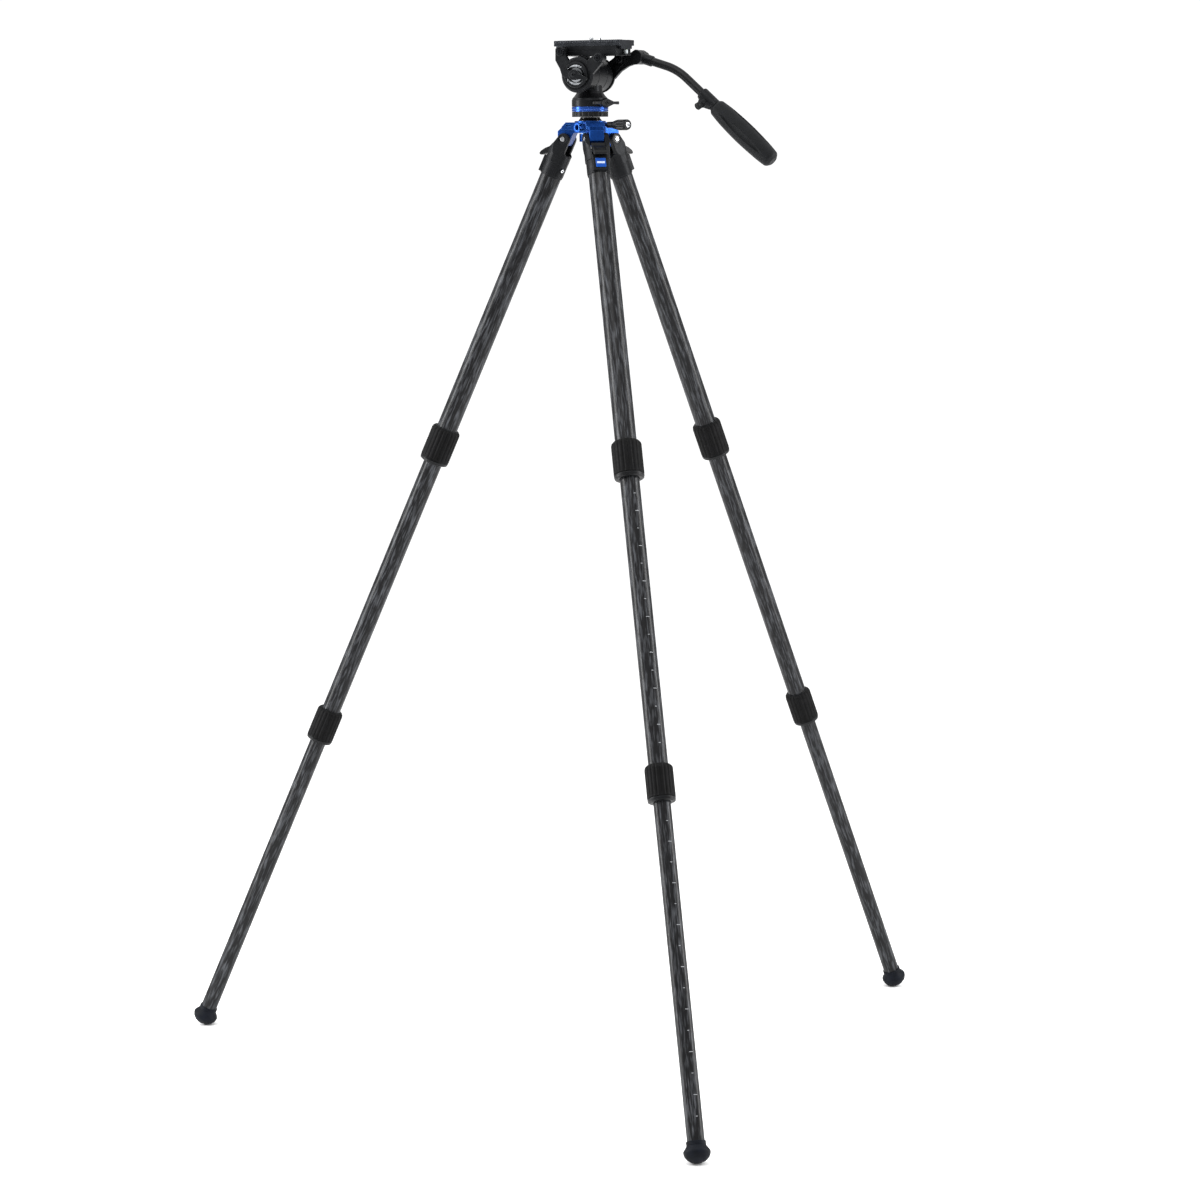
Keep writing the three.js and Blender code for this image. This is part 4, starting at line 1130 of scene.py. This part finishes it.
def add_handle():
    dress("bar_hub", bar_hub(), SATIN, "bar")
    dress("bar_clamp", bar_clamp(), DARK, "bar_clamp")
    dress("pan_bar", pan_bar(), DARK, "bar")
    dress("handle_collar", handle_collar(), CASTING, "bar", GRIP)
    knob_place = collar_knob_place()
    knob_place.translation = GRIP @ Vector((0, 0, (TO_COLLAR + 14) * MM))
    dress("collar_knob", collar_knob(13.5), DARK, "collar_knob", knob_place)
    dress("collar_boss", rod(6.4, 8, 16.2, 0.9), CASTING, "bar", knob_place, False)
    dress("handle_rod", rod(5.2, GRIP_START - 60, GRIP_START + 22, 0.4), STEEL, "handle", GRIP)
    dress("grip", grip(), GRIP_RUBBER, "handle", GRIP)
    end = GRIP_START + GRIP_LENGTH
    dress("grip_end", rod(1.8, end - 1, end + 0.25, 0.2, 32), DARK, "handle", GRIP, False)


# ---- Studio ---------------------------------------------------------------------------------

CAMERA_AWAY = 5.7315  # level distance from the tripod's axis
CAMERA_HEIGHT = 1.40725
CAMERA_AZIMUTH = -101.775
CAMERA_TURN = -0.089  # from facing the axis squarely
CAMERA_PITCH = 6.9118
CAMERA_ROLL = -0.4732
CAMERA_LENS = 112.23
HORIZON_LIGHT = 0.14
ZENITH_LIGHT = 1.75


def add_camera():
    data = bpy.data.cameras.new("camera")
    data.sensor_width = 36
    data.lens = CAMERA_LENS
    data.clip_start, data.clip_end = 0.1, 200
    camera = bpy.data.objects.new("camera", data)
    bpy.context.scene.collection.objects.link(camera)
    azimuth = math.radians(CAMERA_AZIMUTH)
    away = Vector((math.cos(azimuth), math.sin(azimuth), 0)) * CAMERA_AWAY
    heading = CAMERA_AZIMUTH + 180 + CAMERA_TURN
    turn = spin(heading - 90, "Z") @ spin(90 - CAMERA_PITCH, "X") @ spin(CAMERA_ROLL, "Z")
    camera.matrix_world = Matrix.Translation(AXIS + away + Vector((0, 0, CAMERA_HEIGHT))) @ turn
    bpy.context.scene.camera = camera


def add_floor():
    bm = bmesh.new()
    bmesh.ops.create_circle(bm, cap_ends=True, segments=96, radius=60)
    mesh = to_mesh(bm)
    floor = bpy.data.objects.new("floor", mesh)
    made = Finish("floor", Roughness=0.9, Specular_IOR_Level=0.1)
    paper = made.spread(made.noise(2), (0.3, 0.7), (0, 1))
    made.feed("Base Color", made.mix(paper, tone("f7f7f7"), tone("fbfbfb")))
    mesh.materials.append(made.material)
    floor.location.z = -0.0005
    bpy.context.scene.collection.objects.link(floor)


def add_softbox(name, azimuth, height, away, size, power):
    """A square lamp that faces the tripod's axis, azimuth counted from the camera's side."""
    data = bpy.data.lights.new(name, "AREA")
    data.shape = "RECTANGLE"
    data.size, data.size_y = size
    data.energy = power
    lamp = bpy.data.objects.new(name, data)
    bpy.context.scene.collection.objects.link(lamp)
    turn = math.radians(CAMERA_AZIMUTH + azimuth)
    spot = AXIS + Vector((away * math.cos(turn), away * math.sin(turn), height))
    aim = AXIS + Vector((0, 0, 1.0)) - spot
    lamp.location = spot
    lamp.rotation_mode = "QUATERNION"
    lamp.rotation_quaternion = aim.to_track_quat("-Z", "Y")


def studio_world():
    """White where the camera sees it; as a light, bright overhead and dim at the horizon."""
    world = bpy.data.worlds.new("studio")
    world.use_nodes = True
    nodes, links = world.node_tree.nodes, world.node_tree.links
    background = nodes["Background"]
    background.inputs["Color"].default_value = (1, 1, 1, 1)
    direction = nodes.new("ShaderNodeTexCoord").outputs["Generated"]
    parts = nodes.new("ShaderNodeSeparateXYZ")
    links.new(direction, parts.inputs[0])
    glow = nodes.new("ShaderNodeMapRange")
    links.new(parts.outputs["Z"], glow.inputs["Value"])
    glow.inputs["To Min"].default_value = HORIZON_LIGHT
    glow.inputs["To Max"].default_value = ZENITH_LIGHT
    seen = nodes.new("ShaderNodeLightPath").outputs["Is Camera Ray"]
    strength = nodes.new("ShaderNodeMix")
    links.new(seen, strength.inputs[0])
    links.new(glow.outputs["Result"], strength.inputs[2])
    strength.inputs[3].default_value = 1.05
    links.new(strength.outputs[0], background.inputs["Strength"])
    return world


def add_studio():
    bpy.context.scene.world = studio_world()
    bpy.context.scene.view_settings.view_transform = "Standard"
    add_softbox("left_softbox", -84, 1.5, 2.4, (0.7, 2.6), 90)
    add_softbox("right_softbox", 84, 1.5, 2.4, (0.6, 2.6), 70)
    add_softbox("top_softbox", -20, 3.4, 1.6, (1.6, 1.6), 30)
    add_floor()


add_camera()
add_studio()
for leg_name in LEGS:
    add_leg(leg_name)
add_badge()
add_base()
add_head()
add_handle()

bpy.context.view_layer.update()
